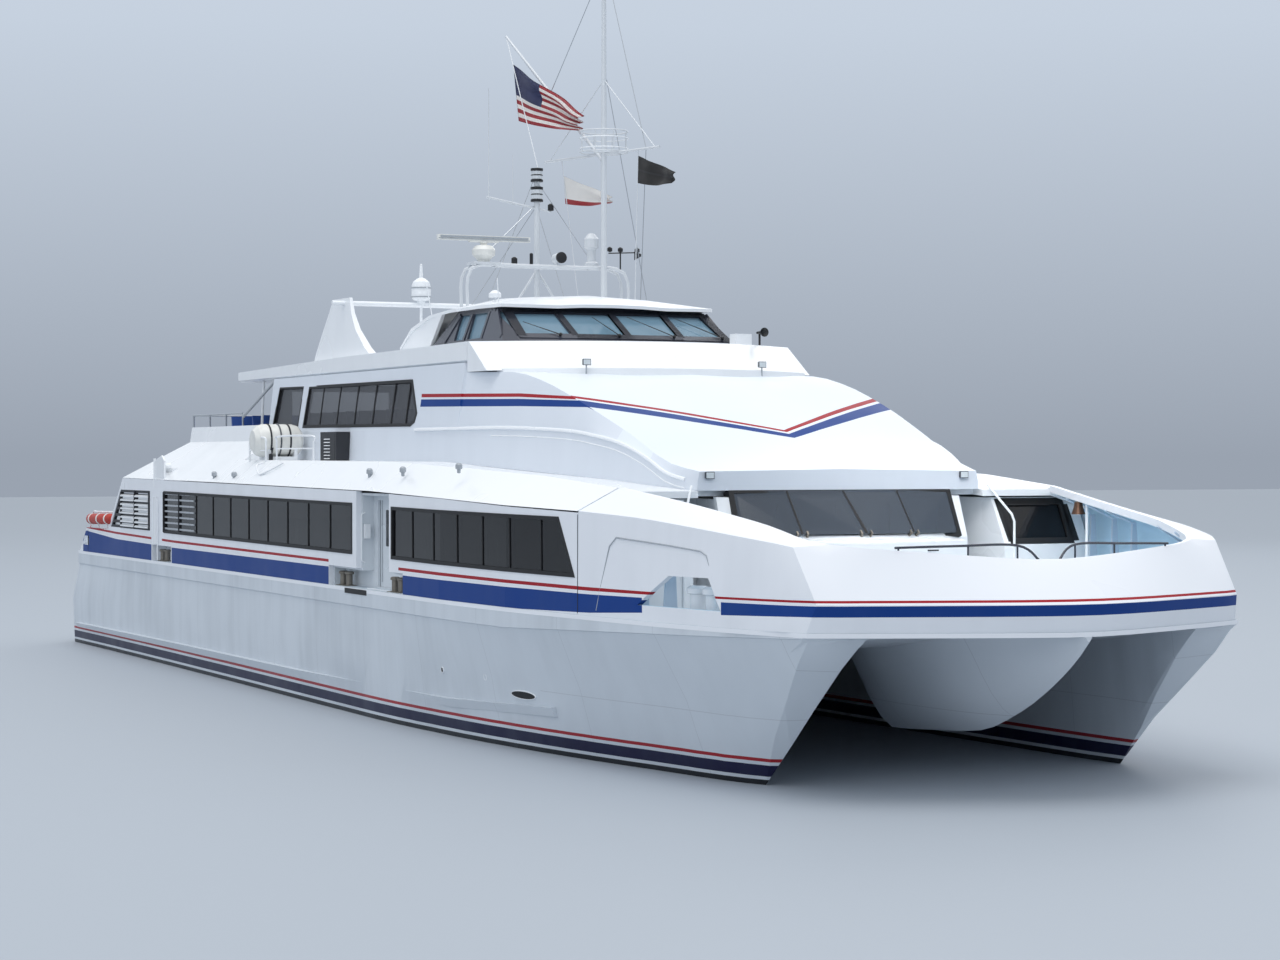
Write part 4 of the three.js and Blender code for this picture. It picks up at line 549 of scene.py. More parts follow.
cabin_glass = tinted_glass("black_tinted_float_glass", "#0C0D11", CABIN_TINT)
smoked_glass = tinted_glass("smoked_float_glass", "#3A3A3E", SMOKED_TINT)
bridge_glass = tinted_glass("grey_tinted_float_glass", "#86A9BE", BRIDGE_TINT)
front_glass = tinted_glass("blue_grey_tinted_float_glass", "#39434F", FRONT_TINT)
print("cabin glass stops", CABIN_TINT)

# %% [markdown]
# Small finishes: brushed stainless steel on rails, black synthetic rubber in window seals, a matt
# powder coat on the louvres, and glossy moulded glass fibre on the raft canisters and the radar. What
# tells them apart is their gloss, and a fine grain in colour and height keeps each from looking flat.

# %% Small finishes
DARKEST, PALEST = 0.78, 1.12  # the least and the most that the noise makes of a colour


def plain_finish(name, colour, grain=0.0, scale=60.0, **inputs):
    """A finish with a fine noise in its colour, `scale` grains to the metre and `grain` metres deep."""
    material, tree, shader = start_material(name, colour, **inputs)
    metres = ship_metres(tree)
    noise = add(tree, "ShaderNodeTexNoise", {"Vector": metres, "Scale": scale, "Detail": 3.0})
    base = linear(colour)
    darker = [c * DARKEST for c in base[:3]] + [1.0]
    paler = [min(1.0, c * PALEST) for c in base[:3]] + [1.0]
    shade = add(tree, "ShaderNodeMix", {0: noise.outputs[0], 6: darker, 7: paler}, data_type="RGBA")
    tree.links.new(shade.outputs[2], shader.inputs["Base Color"])
    if grain:
        bump = add(tree, "ShaderNodeBump", {"Height": noise.outputs[0], "Strength": 0.5, "Distance": grain})
        tree.links.new(bump.outputs[0], shader.inputs["Normal"])
    return material


stainless = plain_finish("brushed_stainless_steel", "#B9BDC1", Metallic=1.0, Roughness=0.3)
cast_metal = plain_finish("cast_jet_steel", "#8A8D90", grain=0.001, scale=25, Metallic=0.9, Roughness=0.45)
# Real black rubber on the seals, also used as painted shade for the side slot and the hull outlets.
seal_rubber_and_shade = plain_finish("black_seal_rubber_and_painted_shade", "#17181B", Roughness=0.6)
powder_coat = plain_finish("dark_powder_coat", "#2B2D33", grain=0.0005, Roughness=0.55)
glass_fibre = plain_finish("white_moulded_glass_fibre", "#EDEDE8", scale=4, Roughness=0.25)
black_plastic = plain_finish("black_moulded_plastic", "#1C1D20", Roughness=0.4)
worn = {"grain": 0.0008, "scale": 12, "Metallic": 0.7, "Roughness": 0.5}
worn_steel = plain_finish("worn_mooring_steel", "#8B857C", **worn)
webbing = plain_finish("dark_polyester_webbing", "#33353A", grain=0.0004, scale=80, Roughness=0.85)
louvre_grey = plain_finish("grey_powder_coat", "#565A61", grain=0.0004, Roughness=0.5)
rescue_red = plain_finish("orange_red_coated_foam", "#B8392C", grain=0.0006, scale=20, Roughness=0.6)
dull_bronze = plain_finish("dull_cast_bronze", "#5E4638", scale=15, Metallic=0.7, Roughness=0.45)
lamp_glass = plain_finish("clear_lamp_glass", "#DCE3E6", scale=30, Roughness=0.05)
pale_blue_enamel = painted_metal("pale_blue_inner_enamel", "#C6D5E4", dents=0.2, streaks=0.08)
print("small finishes made")

# %% [markdown]
# Every construction node takes one finish. Sorted by finish the table stays short, and what it doesn't
# name is plain white enamel.


# %% Give each construction node its finish
def both(*parts):
    """The node names of parts that come as a port and a starboard one."""
    return [f"{part}_{side}" for part in parts for side in SIDES]


FINISHES = {
    hull_enamel: both("hull") + ["bridge_and_centre_bow"],
    side_enamel: both("aft_side_wall", "forward_side_wall") + ["foredeck_bulwark"],
    upper_enamel: ["upper_cabin", "forward_hood"],
    deck_finish: ["main_deck"],
    recess_enamel: both("door_recess", "boarding_door"),
    cabin_glass: both("aft_side_glass", "forward_side_glass") + ["cabin_front_glass"],
    smoked_glass: both("upper_side_glass"),
    bridge_glass: ["wheelhouse_glass"],
    powder_coat: both("side_louvres"),
    frame_enamel: ["wheelhouse_walls"],
    stainless: ["upper_deck_rail"],
    mast_enamel: ["radar_arch", "main_mast"],
    glass_fibre: both("liferaft") + ["radar_pedestal", "radar_scanner"],
    cast_metal: both("jet_housing", "jet_nozzle", "jet_bucket"),
}
finish_of = {name: material for material, names in FINISHES.items() for name in names}
for name, node in NODES.items():
    node.data.materials.clear()
    node.data.materials.append(finish_of.get(name, white_enamel))
print(len(finish_of), "nodes with a finish of their own, the rest in white enamel")

# %% [markdown]
# A construction mesh is loose triangles, so light breaks at every one of them. Where the real plating
# is curved, a merged copy takes the node's place: its doubled points are joined, flat triangles are
# melted into whole faces, and only edges that are truly sharp stay sharp.

# %% Smooth copies of the curved plating
SHARP = math.radians(22)  # plating edges that turn more than this stay sharp
CURVED = both("hull") + ["bridge_and_centre_bow", "foredeck_bulwark", "forward_hood"]
CURVED += ["wheelhouse_roof", "wheelhouse_brow", "main_cabin_roof"] + both("liferaft")
CURVED += ["radar_pedestal", "radar_arch", "main_mast", "after_mast"]
DOUBLE = 2e-5  # metres; points closer than this are one
FLAT = math.radians(0.4)  # triangles that turn less than this are one face


def soften(bm, sharp):
    """Smooth shading all over a mesh but across its sharp edges."""
    for face in bm.faces:
        face.smooth = True
    for edge in bm.edges:
        edge.smooth = len(edge.link_faces) == 2 and edge.calc_face_angle() < sharp


def link(name, mesh, body="ship"):
    """Put a finished mesh in the scene, riding on its body."""
    piece = bpy.data.objects.new(name, mesh)
    bpy.context.scene.collection.objects.link(piece)
    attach(piece, body)
    return piece


for name in CURVED:
    mesh = NODES[name].data.copy()
    bm = bmesh.new()
    bm.from_mesh(mesh)
    bmesh.ops.remove_doubles(bm, verts=bm.verts, dist=DOUBLE)
    bmesh.ops.dissolve_limit(bm, angle_limit=FLAT, verts=bm.verts, edges=bm.edges)
    soften(bm, SHARP)
    bm.to_mesh(mesh)
    bm.free()
    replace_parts(link("smooth_" + name, mesh), name)
print(len(CURVED), "nodes smoothed")

# %% [markdown]
# The small parts are built from a few shapes: bars, round rods, bent tubes, turned profiles and plates.
# Each is only a list of points and faces, so one helper gathers them, copies them to the other side of
# the ship where needed, and turns the lot into one piece with its faces outwards.

# %% Building shapes
SHARP_TRIM = math.radians(35)  # edges of small parts that turn more than this stay sharp


class Shape:
    """Points and faces of one piece, in metres of the real ship."""

    def __init__(self):
        self.points, self.faces = [], []

    def rings(self, rings, loop=False):
        """A skin over rings of equally many points, closed at its ends or joined in a loop."""
        first, count = len(self.points), len(rings[0])
        self.points += [Vector(p) for ring in rings for p in ring]
        total = len(rings)
        for r in range(total if loop else total - 1):
            for i in range(count):
                a, b = r * count + i, r * count + (i + 1) % count
                c, d = ((r + 1) % total) * count + (i + 1) % count, ((r + 1) % total) * count + i
                self.faces.append([first + k for k in (a, b, c, d)])
        if not loop:
            self.faces.append([first + k for k in reversed(range(count))])
            self.faces.append([first + (total - 1) * count + k for k in range(count)])
        return self

    def box(self, x, y, z):
        return self.rings([[(x[i], y[j], h) for i, j in ((0, 0), (1, 0), (1, 1), (0, 1))] for h in z])

    def slab(self, outline, thick):
        """A flat outline given a thickness along a vector."""
        return self.rings([outline, [Vector(p) + Vector(thick) for p in outline]])

    def tube(self, points, radius, sides=8):
        """A tube through points."""
        points = [Vector(p) for p in points]
        rings, side = [], None
        for i, point in enumerate(points):
            ahead = (points[min(i + 1, len(points) - 1)] - points[max(i - 1, 0)]).normalized()
            if side is None:
                side = ahead.orthogonal()
            side = (side - ahead * side.dot(ahead)).normalized()
            up = ahead.cross(side)
            turns = [2 * math.pi * k / sides for k in range(sides)]
            rings.append([point + (side * math.cos(t) + up * math.sin(t)) * radius for t in turns])
        return self.rings(rings)

    def turned(self, profile, foot, axis=(0, 0, 1), sides=20):
        """A body turned about an axis, from (radius, height) pairs."""
        spin = Vector((0, 0, 1)).rotation_difference(Vector(axis))
        rings = []
        for radius, height in profile:
            turns = [2 * math.pi * k / sides for k in range(sides)]
            ring = [Vector((radius * math.cos(t), radius * math.sin(t), height)) for t in turns]
            rings.append([Vector(foot) + spin @ p for p in ring])
        return self.rings(rings)

    def both_sides(self):
        """The same again on the other side of the ship."""
        first = len(self.points)
        self.points += [Vector((p.x, -p.y, p.z)) for p in self.points]
        self.faces += [[first + k for k in reversed(face)] for face in self.faces]
        return self

    def mesh(self, name):
        """The shape at the model's size, faces outwards, smooth but across its sharp edges."""
        mesh = bpy.data.meshes.new(name)
        mesh.from_pydata([p * MODEL for p in self.points], [], self.faces)
        bm = bmesh.new()
        bm.from_mesh(mesh)
        bmesh.ops.recalc_face_normals(bm, faces=bm.faces)
        soften(bm, SHARP_TRIM)
        bm.to_mesh(mesh)
        bm.free()
        return mesh

    def piece(self, name, material, slot, body="ship"):
        mesh = self.mesh(name)
        mesh.materials.append(material)
        return link(name, mesh, body)


print("shapes ready")

# %% [markdown]
# Two more rules are needed all through: a smooth line through a few points, for bent rails, and a
# value read from a short table of x against width or height.


# %% Bends and tables
def bend(points, steps=6):
    """A smooth line through points."""
    points = [Vector(p) for p in points]
    line = []
    for i in range(len(points) - 1):
        before, after = points[max(i - 1, 0)], points[min(i + 2, len(points) - 1)]
        p0, p1, p2, p3 = before, points[i], points[i + 1], after
        for k in range(steps):
            t = k / steps
            square = (p0 * 2 - p1 * 5 + p2 * 4 - p3) * t**2
            cube = (p1 * 3 - p0 - p2 * 3 + p3) * t**3
            line.append((p1 * 2 + (p2 - p0) * t + square + cube) / 2)
    return line + [points[-1]]


def lookup(table, x):
    """The second column of a table at x."""
    for (x0, v0), (x1, v1) in zip(table, table[1:]):
        if x <= x1:
            break
    return v0 + (v1 - v0) * (x - x0) / (x1 - x0)


print("a bend through 3 places has", len(bend([(0, 0, 0), (1, 0, 0), (1, 1, 0)])), "points")

# %% [markdown]
# Trim lies on the ship's faces, so each face gets a rule that gives a place on it from two numbers,
# and how far that place is moved out of the face. The rule finds which way is out by looking a
# little to each side.


# %% Faces that carry trim
def over(place, outward):
    """A face's rule, moved out along the face's own normal."""

    def shifted(u, v, out=0.0):
        point = Vector(place(u, v))
        across = Vector(place(u + 0.01, v)) - point
        up = Vector(place(u, v + 0.01)) - point
        normal = across.cross(up).normalized()
        return point + normal * (out if normal.dot(Vector(outward)) > 0 else -out)

    return shifted


# Columns: x, half width of the main cabin.
SIDE_TABLE = [(-20.3, 5.76), (9, 5.76), (12, 5.62), (14.63, 5.33)]
# Columns: z, half width of the upper cabin.
UPPER_TABLE = [(5.33, 4.02), (6.0, 3.985), (7.36, 3.82)]
FRONT_FOOT, FRONT_CORNER, FRONT_HEAD, FRONT_HALF = 15.45, 14.75, 14.4, 2.55
FRONT_SILL, FRONT_TOP = 3.92, 4.81


def front_place(y, z):
    foot = FRONT_FOOT + (FRONT_CORNER - FRONT_FOOT) * abs(y) / FRONT_HALF
    return (foot + (FRONT_HEAD - foot) * (z - FRONT_SILL) / (FRONT_TOP - FRONT_SILL), y, z)


BRIDGE_SILL, BRIDGE_RISE = 7.88, 0.72
BRIDGE_FOOT_HALF, BRIDGE_HEAD_HALF = 2.71, 2.49
# Columns: distance from the centre line, x.
BRIDGE_FOOT = [(0, 5.5), (1.3, 5.5), (2.55, 5.3)]
BRIDGE_HEAD = [(0, 4.2), (1.25, 4.2), (2.4, 4.0)]


def bridge_place(y, z):
    share = (z - BRIDGE_SILL) / BRIDGE_RISE
    foot, head = lookup(BRIDGE_FOOT, abs(y)), lookup(BRIDGE_HEAD, abs(y))
    return (foot + (head - foot) * share, y, z)


def bridge_side_place(x, z):
    share = (z - BRIDGE_SILL) / BRIDGE_RISE
    return (x, BRIDGE_FOOT_HALF + (BRIDGE_HEAD_HALF - BRIDGE_FOOT_HALF) * share, z)


main_side = over(lambda x, z: (x, lookup(SIDE_TABLE, x), z), (0, 1, 0))
upper_side = over(lambda x, z: (x, lookup(UPPER_TABLE, z), z), (0, 1, 0))
front_face = over(front_place, (1, 0, 0))
# The wing wall leans back 0.45 m over 0.89 m of height.
wing_face = over(lambda y, z: (14.95 - (z - 3.75) * 0.45 / 0.89, y, z), (1, 0, 0))
bridge_front = over(bridge_place, (1, 0, 0))
bridge_side = over(bridge_side_place, (0, 1, 0))
print("faces with a rule: side, upper side, front, wing, bridge front, bridge side")

# %% [markdown]
# Two kinds of trim lie on such a face: a flat band round an outline, with mitred corners, and a flat
# bar between two places. Both reach back under the face, so that no gap shows behind them where the
# face is curved.

# %% Bands and bars
TRIM_FRONT, TRIM_BACK = 0.012, -0.03  # how far trim stands out of its face, and reaches back
BAND_STEP = 0.9  # longest stretch of a band without a joint, so that it follows a curved face


def seal(shape, face, outline, inner, outer, front=TRIM_FRONT, back=TRIM_BACK):
    """A flat band round an outline on a face, from `inner` inside it to `outer` outside it."""
    corners = [Vector(p) for p in outline]
    turn = sum(a.x * b.y - b.x * a.y for a, b in zip(corners, corners[1:] + corners[:1]))
    rings = []
    for i, corner in enumerate(corners):
        before, after = corners[i - 1], corners[(i + 1) % len(corners)]
        normals = []
        for a, b in ((before, corner), (corner, after)):
            edge = (b - a).normalized()
            normals.append(Vector((edge.y, -edge.x)) * (1 if turn > 0 else -1))
        middle = (normals[0] + normals[1]) / (1 + normals[0].dot(normals[1]))
        out, into = corner + middle * outer, corner - middle * inner
        rings.append([face(*out, back), face(*out, front), face(*into, front), face(*into, back)])
    dense = []
    for ring, following in zip(rings, rings[1:] + rings[:1]):
        steps = max(1, int((ring[1] - following[1]).length / BAND_STEP))
        dense += [[a.lerp(b, k / steps) for a, b in zip(ring, following)] for k in range(steps)]
    shape.rings(dense, loop=True)


def strip(shape, face, start, end, width, front=TRIM_FRONT, back=TRIM_BACK):
    """A flat bar on a face between two places."""
    start, end = Vector(start), Vector(end)
    along = (end - start).normalized()
    side = Vector((-along.y, along.x)) * width / 2
    corners = [start - side, end - side, end + side, start + side]
    shape.rings([[face(*c, back) for c in corners], [face(*c, front) for c in corners]])


print("trim helpers ready")

# %% [markdown]
# The long windows look like single dark bands, but each is a row of panes bonded on with black
# rubber. The joints between panes show as thin matt lines on the glossy glass, and the band has a
# black edge all round.

# %% Window seals and pane joints
AFT_WINDOWS = [(-11, 3.44), (3.93, 3.38), (3.93, 4.42), (-11, 4.49)]
FORWARD_SILLS = [(6.35, 3.36), (9.0, 3.347), (12.0, 3.332), (14.5, 3.32)]
FORWARD_HEADS = [(13.95, 4.33), (12.0, 4.344), (9.0, 4.362), (6.35, 4.38)]
FORWARD_WINDOWS = FORWARD_SILLS + FORWARD_HEADS
UPPER_WINDOWS = [(-4.85, 6.12), (2.62, 6.08), (2.86, 6.16), (2.95, 6.34), (2.43, 7.07), (-4.7, 7.1)]
QUARTER_WINDOW = [(-7.3, 6.14), (-5.25, 6.13), (-5.1, 7.12), (-7.05, 7.14)]
AFT_FROM, AFT_RUN, AFT_PANES = -11, 14.93, 10
FORWARD_FROM, FORWARD_PITCH, FORWARD_PANES = 6.35, 1.16, 7
UPPER_JOINTS = (-3.62, -2.38, -1.12, 0.12, 1.36, 2.3)
JOINT_WIDTH, SUNK = 0.035, -0.012  # joints lie a little behind the glass
SEAL_INSIDE, SEAL_OUTSIDE = 0.05, 0.02

seals = Shape()
for face, outline in (
    (main_side, AFT_WINDOWS),
    (main_side, FORWARD_WINDOWS),
    (upper_side, UPPER_WINDOWS),
    (upper_side, QUARTER_WINDOW),
):
    seal(seals, face, outline, SEAL_INSIDE, SEAL_OUTSIDE)
for k in range(1, AFT_PANES):
    x = AFT_FROM + AFT_RUN * k / AFT_PANES
    strip(seals, main_side, (x, 3.43), (x, 4.45), JOINT_WIDTH, front=SUNK)
for k in range(1, FORWARD_PANES):
    x = FORWARD_FROM + FORWARD_PITCH * k
    strip(seals, main_side, (x, 3.36), (x - 0.02, 4.36), JOINT_WIDTH, front=SUNK)
for x in UPPER_JOINTS:
    strip(seals, upper_side, (x - 0.05, 6.12), (x, 7.08), 0.05, front=SUNK)
seals.both_sides()
seals.piece("window_seals", seal_rubber_and_shade, "wheelhouse_frame")
print("seals", len(seals.faces), "faces")

# %% [markdown]
# The cabin's raked front windows are one dark band too. Its frame is a black rubber band with three
# bars over the white posts. The wings each side have a single large pane in a broad dark surround.

# %% Front window frames
BAND_HALF, BAND_FOOT, BAND_HEAD = 2.26, 3.97, 4.74
BAND = [(-BAND_HALF, BAND_FOOT), (BAND_HALF, BAND_FOOT), (BAND_HALF, BAND_HEAD), (-BAND_HALF, BAND_HEAD)]
REVEAL_DEPTH = 0.14  # the frame reaches back to the wall's own glass
PANES_OUT = 0.075  # the bonded panes stand clear of the wall's twisted face
JOINTS = (-1.148, 0, 1.148)
WING_PANE = [(3.45, 3.83), (4.75, 3.83), (4.75, 4.56), (3.45, 4.56)]
# Columns: start, end, width of the bars round a wing pane.
WING_BARS = [
    ((3.33, 4.61), (3.4, 3.82), 0.1),
    ((4.86, 3.82), (4.82, 4.5), 0.14),
    ((3.3, 4.55), (4.5, 4.55), 0.12),
]
front_frames = Shape()
seal(front_frames, front_face, BAND, 0.03, 0.06, front=PANES_OUT + 0.012, back=-REVEAL_DEPTH)
for y in JOINTS:
    levels = {"front": PANES_OUT + 0.006, "back": PANES_OUT - 0.03}
    strip(front_frames, front_face, (y, 3.98), (y, 4.73), 0.035, **levels)
for side in SIDES.values():
    seal(front_frames, wing_face, [(y * side, z) for y, z in WING_PANE], 0.05, 0.06)
    for start, end, width in WING_BARS:
        strip(front_frames, wing_face, (start[0] * side, start[1]), (end[0] * side, end[1]), width)
front_frames.piece("front_window_frames", seal_rubber_and_shade, "wheelhouse_frame")
print("front frames", len(front_frames.faces), "faces")

# %% [markdown]
# In the band sit four glossy panes, bonded edge to edge with thin joints, and small clips hold their
# lower edge beside each joint.

# %% Bonded panes and clips
bonded_panes = Shape()
clips = Shape()
edges = (-BAND_HALF, *JOINTS, BAND_HALF)
for low, high in zip(edges, edges[1:]):
    corners = ((low, BAND_FOOT), (high, BAND_FOOT), (high, BAND_HEAD), (low, BAND_HEAD))
    faces_out = (PANES_OUT - 0.02, PANES_OUT)
    bonded_panes.rings([[front_face(y, z, out) for y, z in corners] for out in faces_out])
for y in JOINTS:
    for aside in (-0.09, 0.09):
        levels = {"front": PANES_OUT + 0.03, "back": 0}
        strip(clips, front_face, (y + aside, 3.95), (y + aside, 4.01), 0.03, **levels)
bonded_panes.piece("bonded_front_panes", front_glass, "tinted_glass")
clips.piece("front_pane_clips", worn_steel, "rail_metal")
print("bonded panes", len(edges) - 1)

# %% [markdown]
# The wing panes and the slanting quarter windows of the upper cabin are plain sheets behind their
# seals.

# %% Wing and quarter glass
WING_SHEET = [(3.44, 3.82), (4.76, 3.82), (4.76, 4.57), (3.44, 4.57)]
wing_glass = Shape()
for side in SIDES.values():
    pane = [wing_face(y * side, z, -0.06) for y, z in WING_SHEET]
    wing_glass.slab(pane, (0.03, 0, 0.015))
wing_glass.piece("wing_window_glass", cabin_glass, "tinted_glass")

quarter_glass = Shape()
pane = [upper_side(x, z, -0.07) for x, z in QUARTER_WINDOW]
quarter_glass.slab(pane, (0, 0.03, 0)).both_sides()
quarter_glass.piece("quarter_window_glass", smoked_glass, "tinted_glass")
print("wing and quarter glass set")

# %% [markdown]
# Through the tinted glass the cabin is only guessed at, as rows of moulded seats. They are far off and
# many, so one seat is a box, a back that leans in two steps, and a leg.


# %% One seat
def seat_shell():
    """One moulded seat with its back, about its own foot."""
    shell = Shape()
    shell.box((-0.22, 0.24), (-0.24, 0.24), (0.38, 0.46))
    back = []
    for lean, z in ((0, 0.42), (0.06, 0.8), (0.12, 1.16)):
        rear, front = -0.26 - lean, -0.18 - lean
        back.append([(rear, -0.24, z), (front, -0.24, z), (front, 0.24, z), (rear, 0.24, z)])
    shell.rings(back)
    shell.tube([(0, 0, 0), (0, 0, 0.4)], 0.05, sides=6)
    mesh = bpy.data.meshes.new("seat_shell")
    mesh.from_pydata([p * MODEL for p in shell.points], [], shell.faces)
    return mesh


one_seat = bpy.data.objects.new("seat_shell", seat_shell())
print("one seat has", len(one_seat.data.polygons), "faces")

# %% [markdown]
# Seats repeat in straight rows, which is what Geometry Nodes do well. The tree makes a grid whose
# counts and size are inputs, puts a seat at each of its points, makes the copies real and paints them.
# Another function runs a tree once and keeps its result as a plain mesh.


# %% A grid of copies
def socket_id(tree, name):
    """The identifier that a modifier uses for one of a tree's inputs."""
    for item in tree.interface.items_tree:
        if item.item_type == "SOCKET" and item.in_out == "INPUT" and item.name == name:
            return item.identifier
    raise KeyError(name)


def grid_tree(name, seed_object, material):
    """Geometry nodes that set copies of one object on a flat grid."""
    tree = bpy.data.node_groups.new(name, "GeometryNodeTree")
    tree.interface.new_socket("Geometry", in_out="OUTPUT", socket_type="NodeSocketGeometry")
    for label, kind in (("Length", "NodeSocketFloat"), ("Width", "NodeSocketFloat")):
        tree.interface.new_socket(label, in_out="INPUT", socket_type=kind)
    for label in ("Count X", "Count Y"):
        tree.interface.new_socket(label, in_out="INPUT", socket_type="NodeSocketInt")
    given = add(tree, "NodeGroupInput")
    grid = add(
        tree,
        "GeometryNodeMeshGrid",
        {
            "Size X": given.outputs["Length"],
            "Size Y": given.outputs["Width"],
            "Vertices X": given.outputs["Count X"],
            "Vertices Y": given.outputs["Count Y"],
        },
    )
    one = add(tree, "GeometryNodeObjectInfo", {"Object": seed_object})
    spread = add(
        tree,
        "GeometryNodeInstanceOnPoints",
        {"Points": grid.outputs["Mesh"], "Instance": one.outputs["Geometry"]},
    )
    real = add(tree, "GeometryNodeRealizeInstances", {0: spread.outputs[0]})
    painted = add(tree, "GeometryNodeSetMaterial", {0: real.outputs[0], "Material": material})
    add(tree, "NodeGroupOutput", {0: painted.outputs[0]})
    return tree


def run_tree(name, tree, values, start):
    """Run a tree once on a mesh, with its inputs set, and keep its result as a plain mesh."""
    holder = bpy.data.objects.new(name + "_maker", start)
    bpy.context.scene.collection.objects.link(holder)
    modifier = holder.modifiers.new("maker", "NODES")
    modifier.node_group = tree
    for key, value in values.items():
        modifier[socket_id(tree, key)] = value
    made = holder.evaluated_get(bpy.context.evaluated_depsgraph_get())
    mesh = bpy.data.meshes.new_from_object(made)
    holder.modifiers.clear()
    bpy.data.objects.remove(holder)
    return mesh


seat_plastic = plain_finish("blue_moulded_seat_plastic", "#274C92", scale=30, Roughness=0.5)
seat_grid = grid_tree("seat_rows", one_seat, seat_plastic)
print("seat grid ready")

# %% [markdown]
# Three blocks of seats stand on two decks. Each is one run of the tree, moved to its place.

# %% Seat rows
SEAT_PITCH = 0.95  # metres from row to row
# Columns: name, seats along, seats across, pitch across, middle of the block on its floor.
SEAT_BLOCKS = [
    ("main_cabin_seats", 22, 12, 0.85, (1.2, 0, MAIN_DECK)),
    ("upper_cabin_seats", 11, 9, 0.78, (-1.2, 0, UPPER_DECK)),
    ("open_deck_seats", 4, 9, 0.8, (-10.9, 0, UPPER_DECK)),
]
for name, along_count, across_count, pitch, middle in SEAT_BLOCKS:
    size = {
        "Length": SEAT_PITCH * (along_count - 1) * MODEL,
        "Width": pitch * (across_count - 1) * MODEL,
        "Count X": along_count,
        "Count Y": across_count,
    }
    seats = run_tree(name, seat_grid, size, bpy.data.meshes.new(name))
    seats.transform(Matrix.Translation(at(*middle)))
    link(name, seats)
    print(name, len(seats.polygons), "faces")

# %% [markdown]
# Bollards, lamps, slats and rail posts are each one small shape that repeats. The places come from a
# short table, and Geometry Nodes put a copy of the shape at every point of it. One function builds
# such a tree for a shape and its finish, and the size of the copies is the tree's input.


# %% One shape at many places
def spread_tree(name, seed_object, material):
    """Geometry nodes that set a copy of one object at each point of the mesh they act on."""
    tree = bpy.data.node_groups.new(name, "GeometryNodeTree")
    tree.interface.new_socket("Geometry", in_out="INPUT", socket_type="NodeSocketGeometry")
    tree.interface.new_socket("Size", in_out="INPUT", socket_type="NodeSocketFloat")
    tree.interface.new_socket("Geometry", in_out="OUTPUT", socket_type="NodeSocketGeometry")
    given = add(tree, "NodeGroupInput")
    one = add(tree, "GeometryNodeObjectInfo", {"Object": seed_object})
    spread = add(
        tree,
        "GeometryNodeInstanceOnPoints",
        {
            "Points": given.outputs["Geometry"],
            "Instance": one.outputs["Geometry"],
            "Scale": given.outputs["Size"],
        },
    )
    real = add(tree, "GeometryNodeRealizeInstances", {0: spread.outputs[0]})
    painted = add(tree, "GeometryNodeSetMaterial", {0: real.outputs[0], "Material": material})
    add(tree, "NodeGroupOutput", {0: painted.outputs[0]})
    return tree


def spread(name, shape, material, slot, places, size=1.0):
    """Copies of one shape at places on the real ship, as one finished piece."""
    seed = bpy.data.objects.new(name + "_seed", shape.mesh(name + "_seed"))
    points = bpy.data.meshes.new(name)
    points.from_pydata([at(*place) for place in places], [], [])
    tree = spread_tree(name + "_tree", seed, material)
    return link(name, run_tree(name, tree, {"Size": size}, points))


def mirrored(places):
    """The same places on both sides of the ship."""
    return [(x, side * y, z) for x, y, z in places for side in SIDES.values()]


print("spreader ready")

# %% [markdown]
# Mooring ropes are made fast to bitts: pairs of short steel posts with wider caps, welded to the deck
# in the recesses where the crew can reach them. They are turned from a profile, and set in a row.

# %% Bitts
BITT_PLACES = [(-11.8, 5.56), (-11.4, 5.56), (2.8, 5.56), (3.18, 5.56), (6.02, 5.56), (6.4, 5.56)]
BITT_PLACES += [(20.2, 2.6), (20.2, 2.2)]
BOW_BITTS = [(17.7, 4.52), (18.15, 4.46)]  # the taller white pair inside each bow opening
BITT = [(0.1, 0), (0.1, 0.02), (0.07, 0.03), (0.07, 0.24), (0.1, 0.25), (0.1, 0.29), (0.07, 0.31)]
bitt = Shape().turned(BITT, (0, 0, 0), sides=14)
bitt.box((-0.14, 0.14), (-0.13, 0.13), (-0.005, 0.012))
places = mirrored([(x, y, MAIN_DECK) for x, y in BITT_PLACES])
spread("mooring_bitts", bitt, worn_steel, "jet_metal", places)
places = mirrored([(x, y, MAIN_DECK) for x, y in BOW_BITTS])
spread("bow_opening_bitts", bitt, white_enamel, "jet_metal", places, size=2.0)
print("bitts", len(BITT_PLACES + BOW_BITTS) * 2)

# %% [markdown]
# Hand rails are bent from tube. The stern rail curves up from the deck at its after end and runs level
# over its posts, and two straight rails close the stern each side of the way to the jets.


# %% Stern rails
def posts_under(shape, line, foot, step, radius):
    """Posts at even steps along a straight-sided rail, down to a foot height."""
    for a, b in zip(line, line[1:]):
        a, b = Vector(a), Vector(b)
        count = max(1, round((b - a).length / step))
        for k in range(count + 1):
            top = a.lerp(b, k / count)
            shape.tube([(top.x, top.y, foot), top], radius, sides=8)


RAIL_Y = 5.66
RAIL_RADIUS, BAR_RADIUS, POST_RADIUS = 0.024, 0.018, 0.02
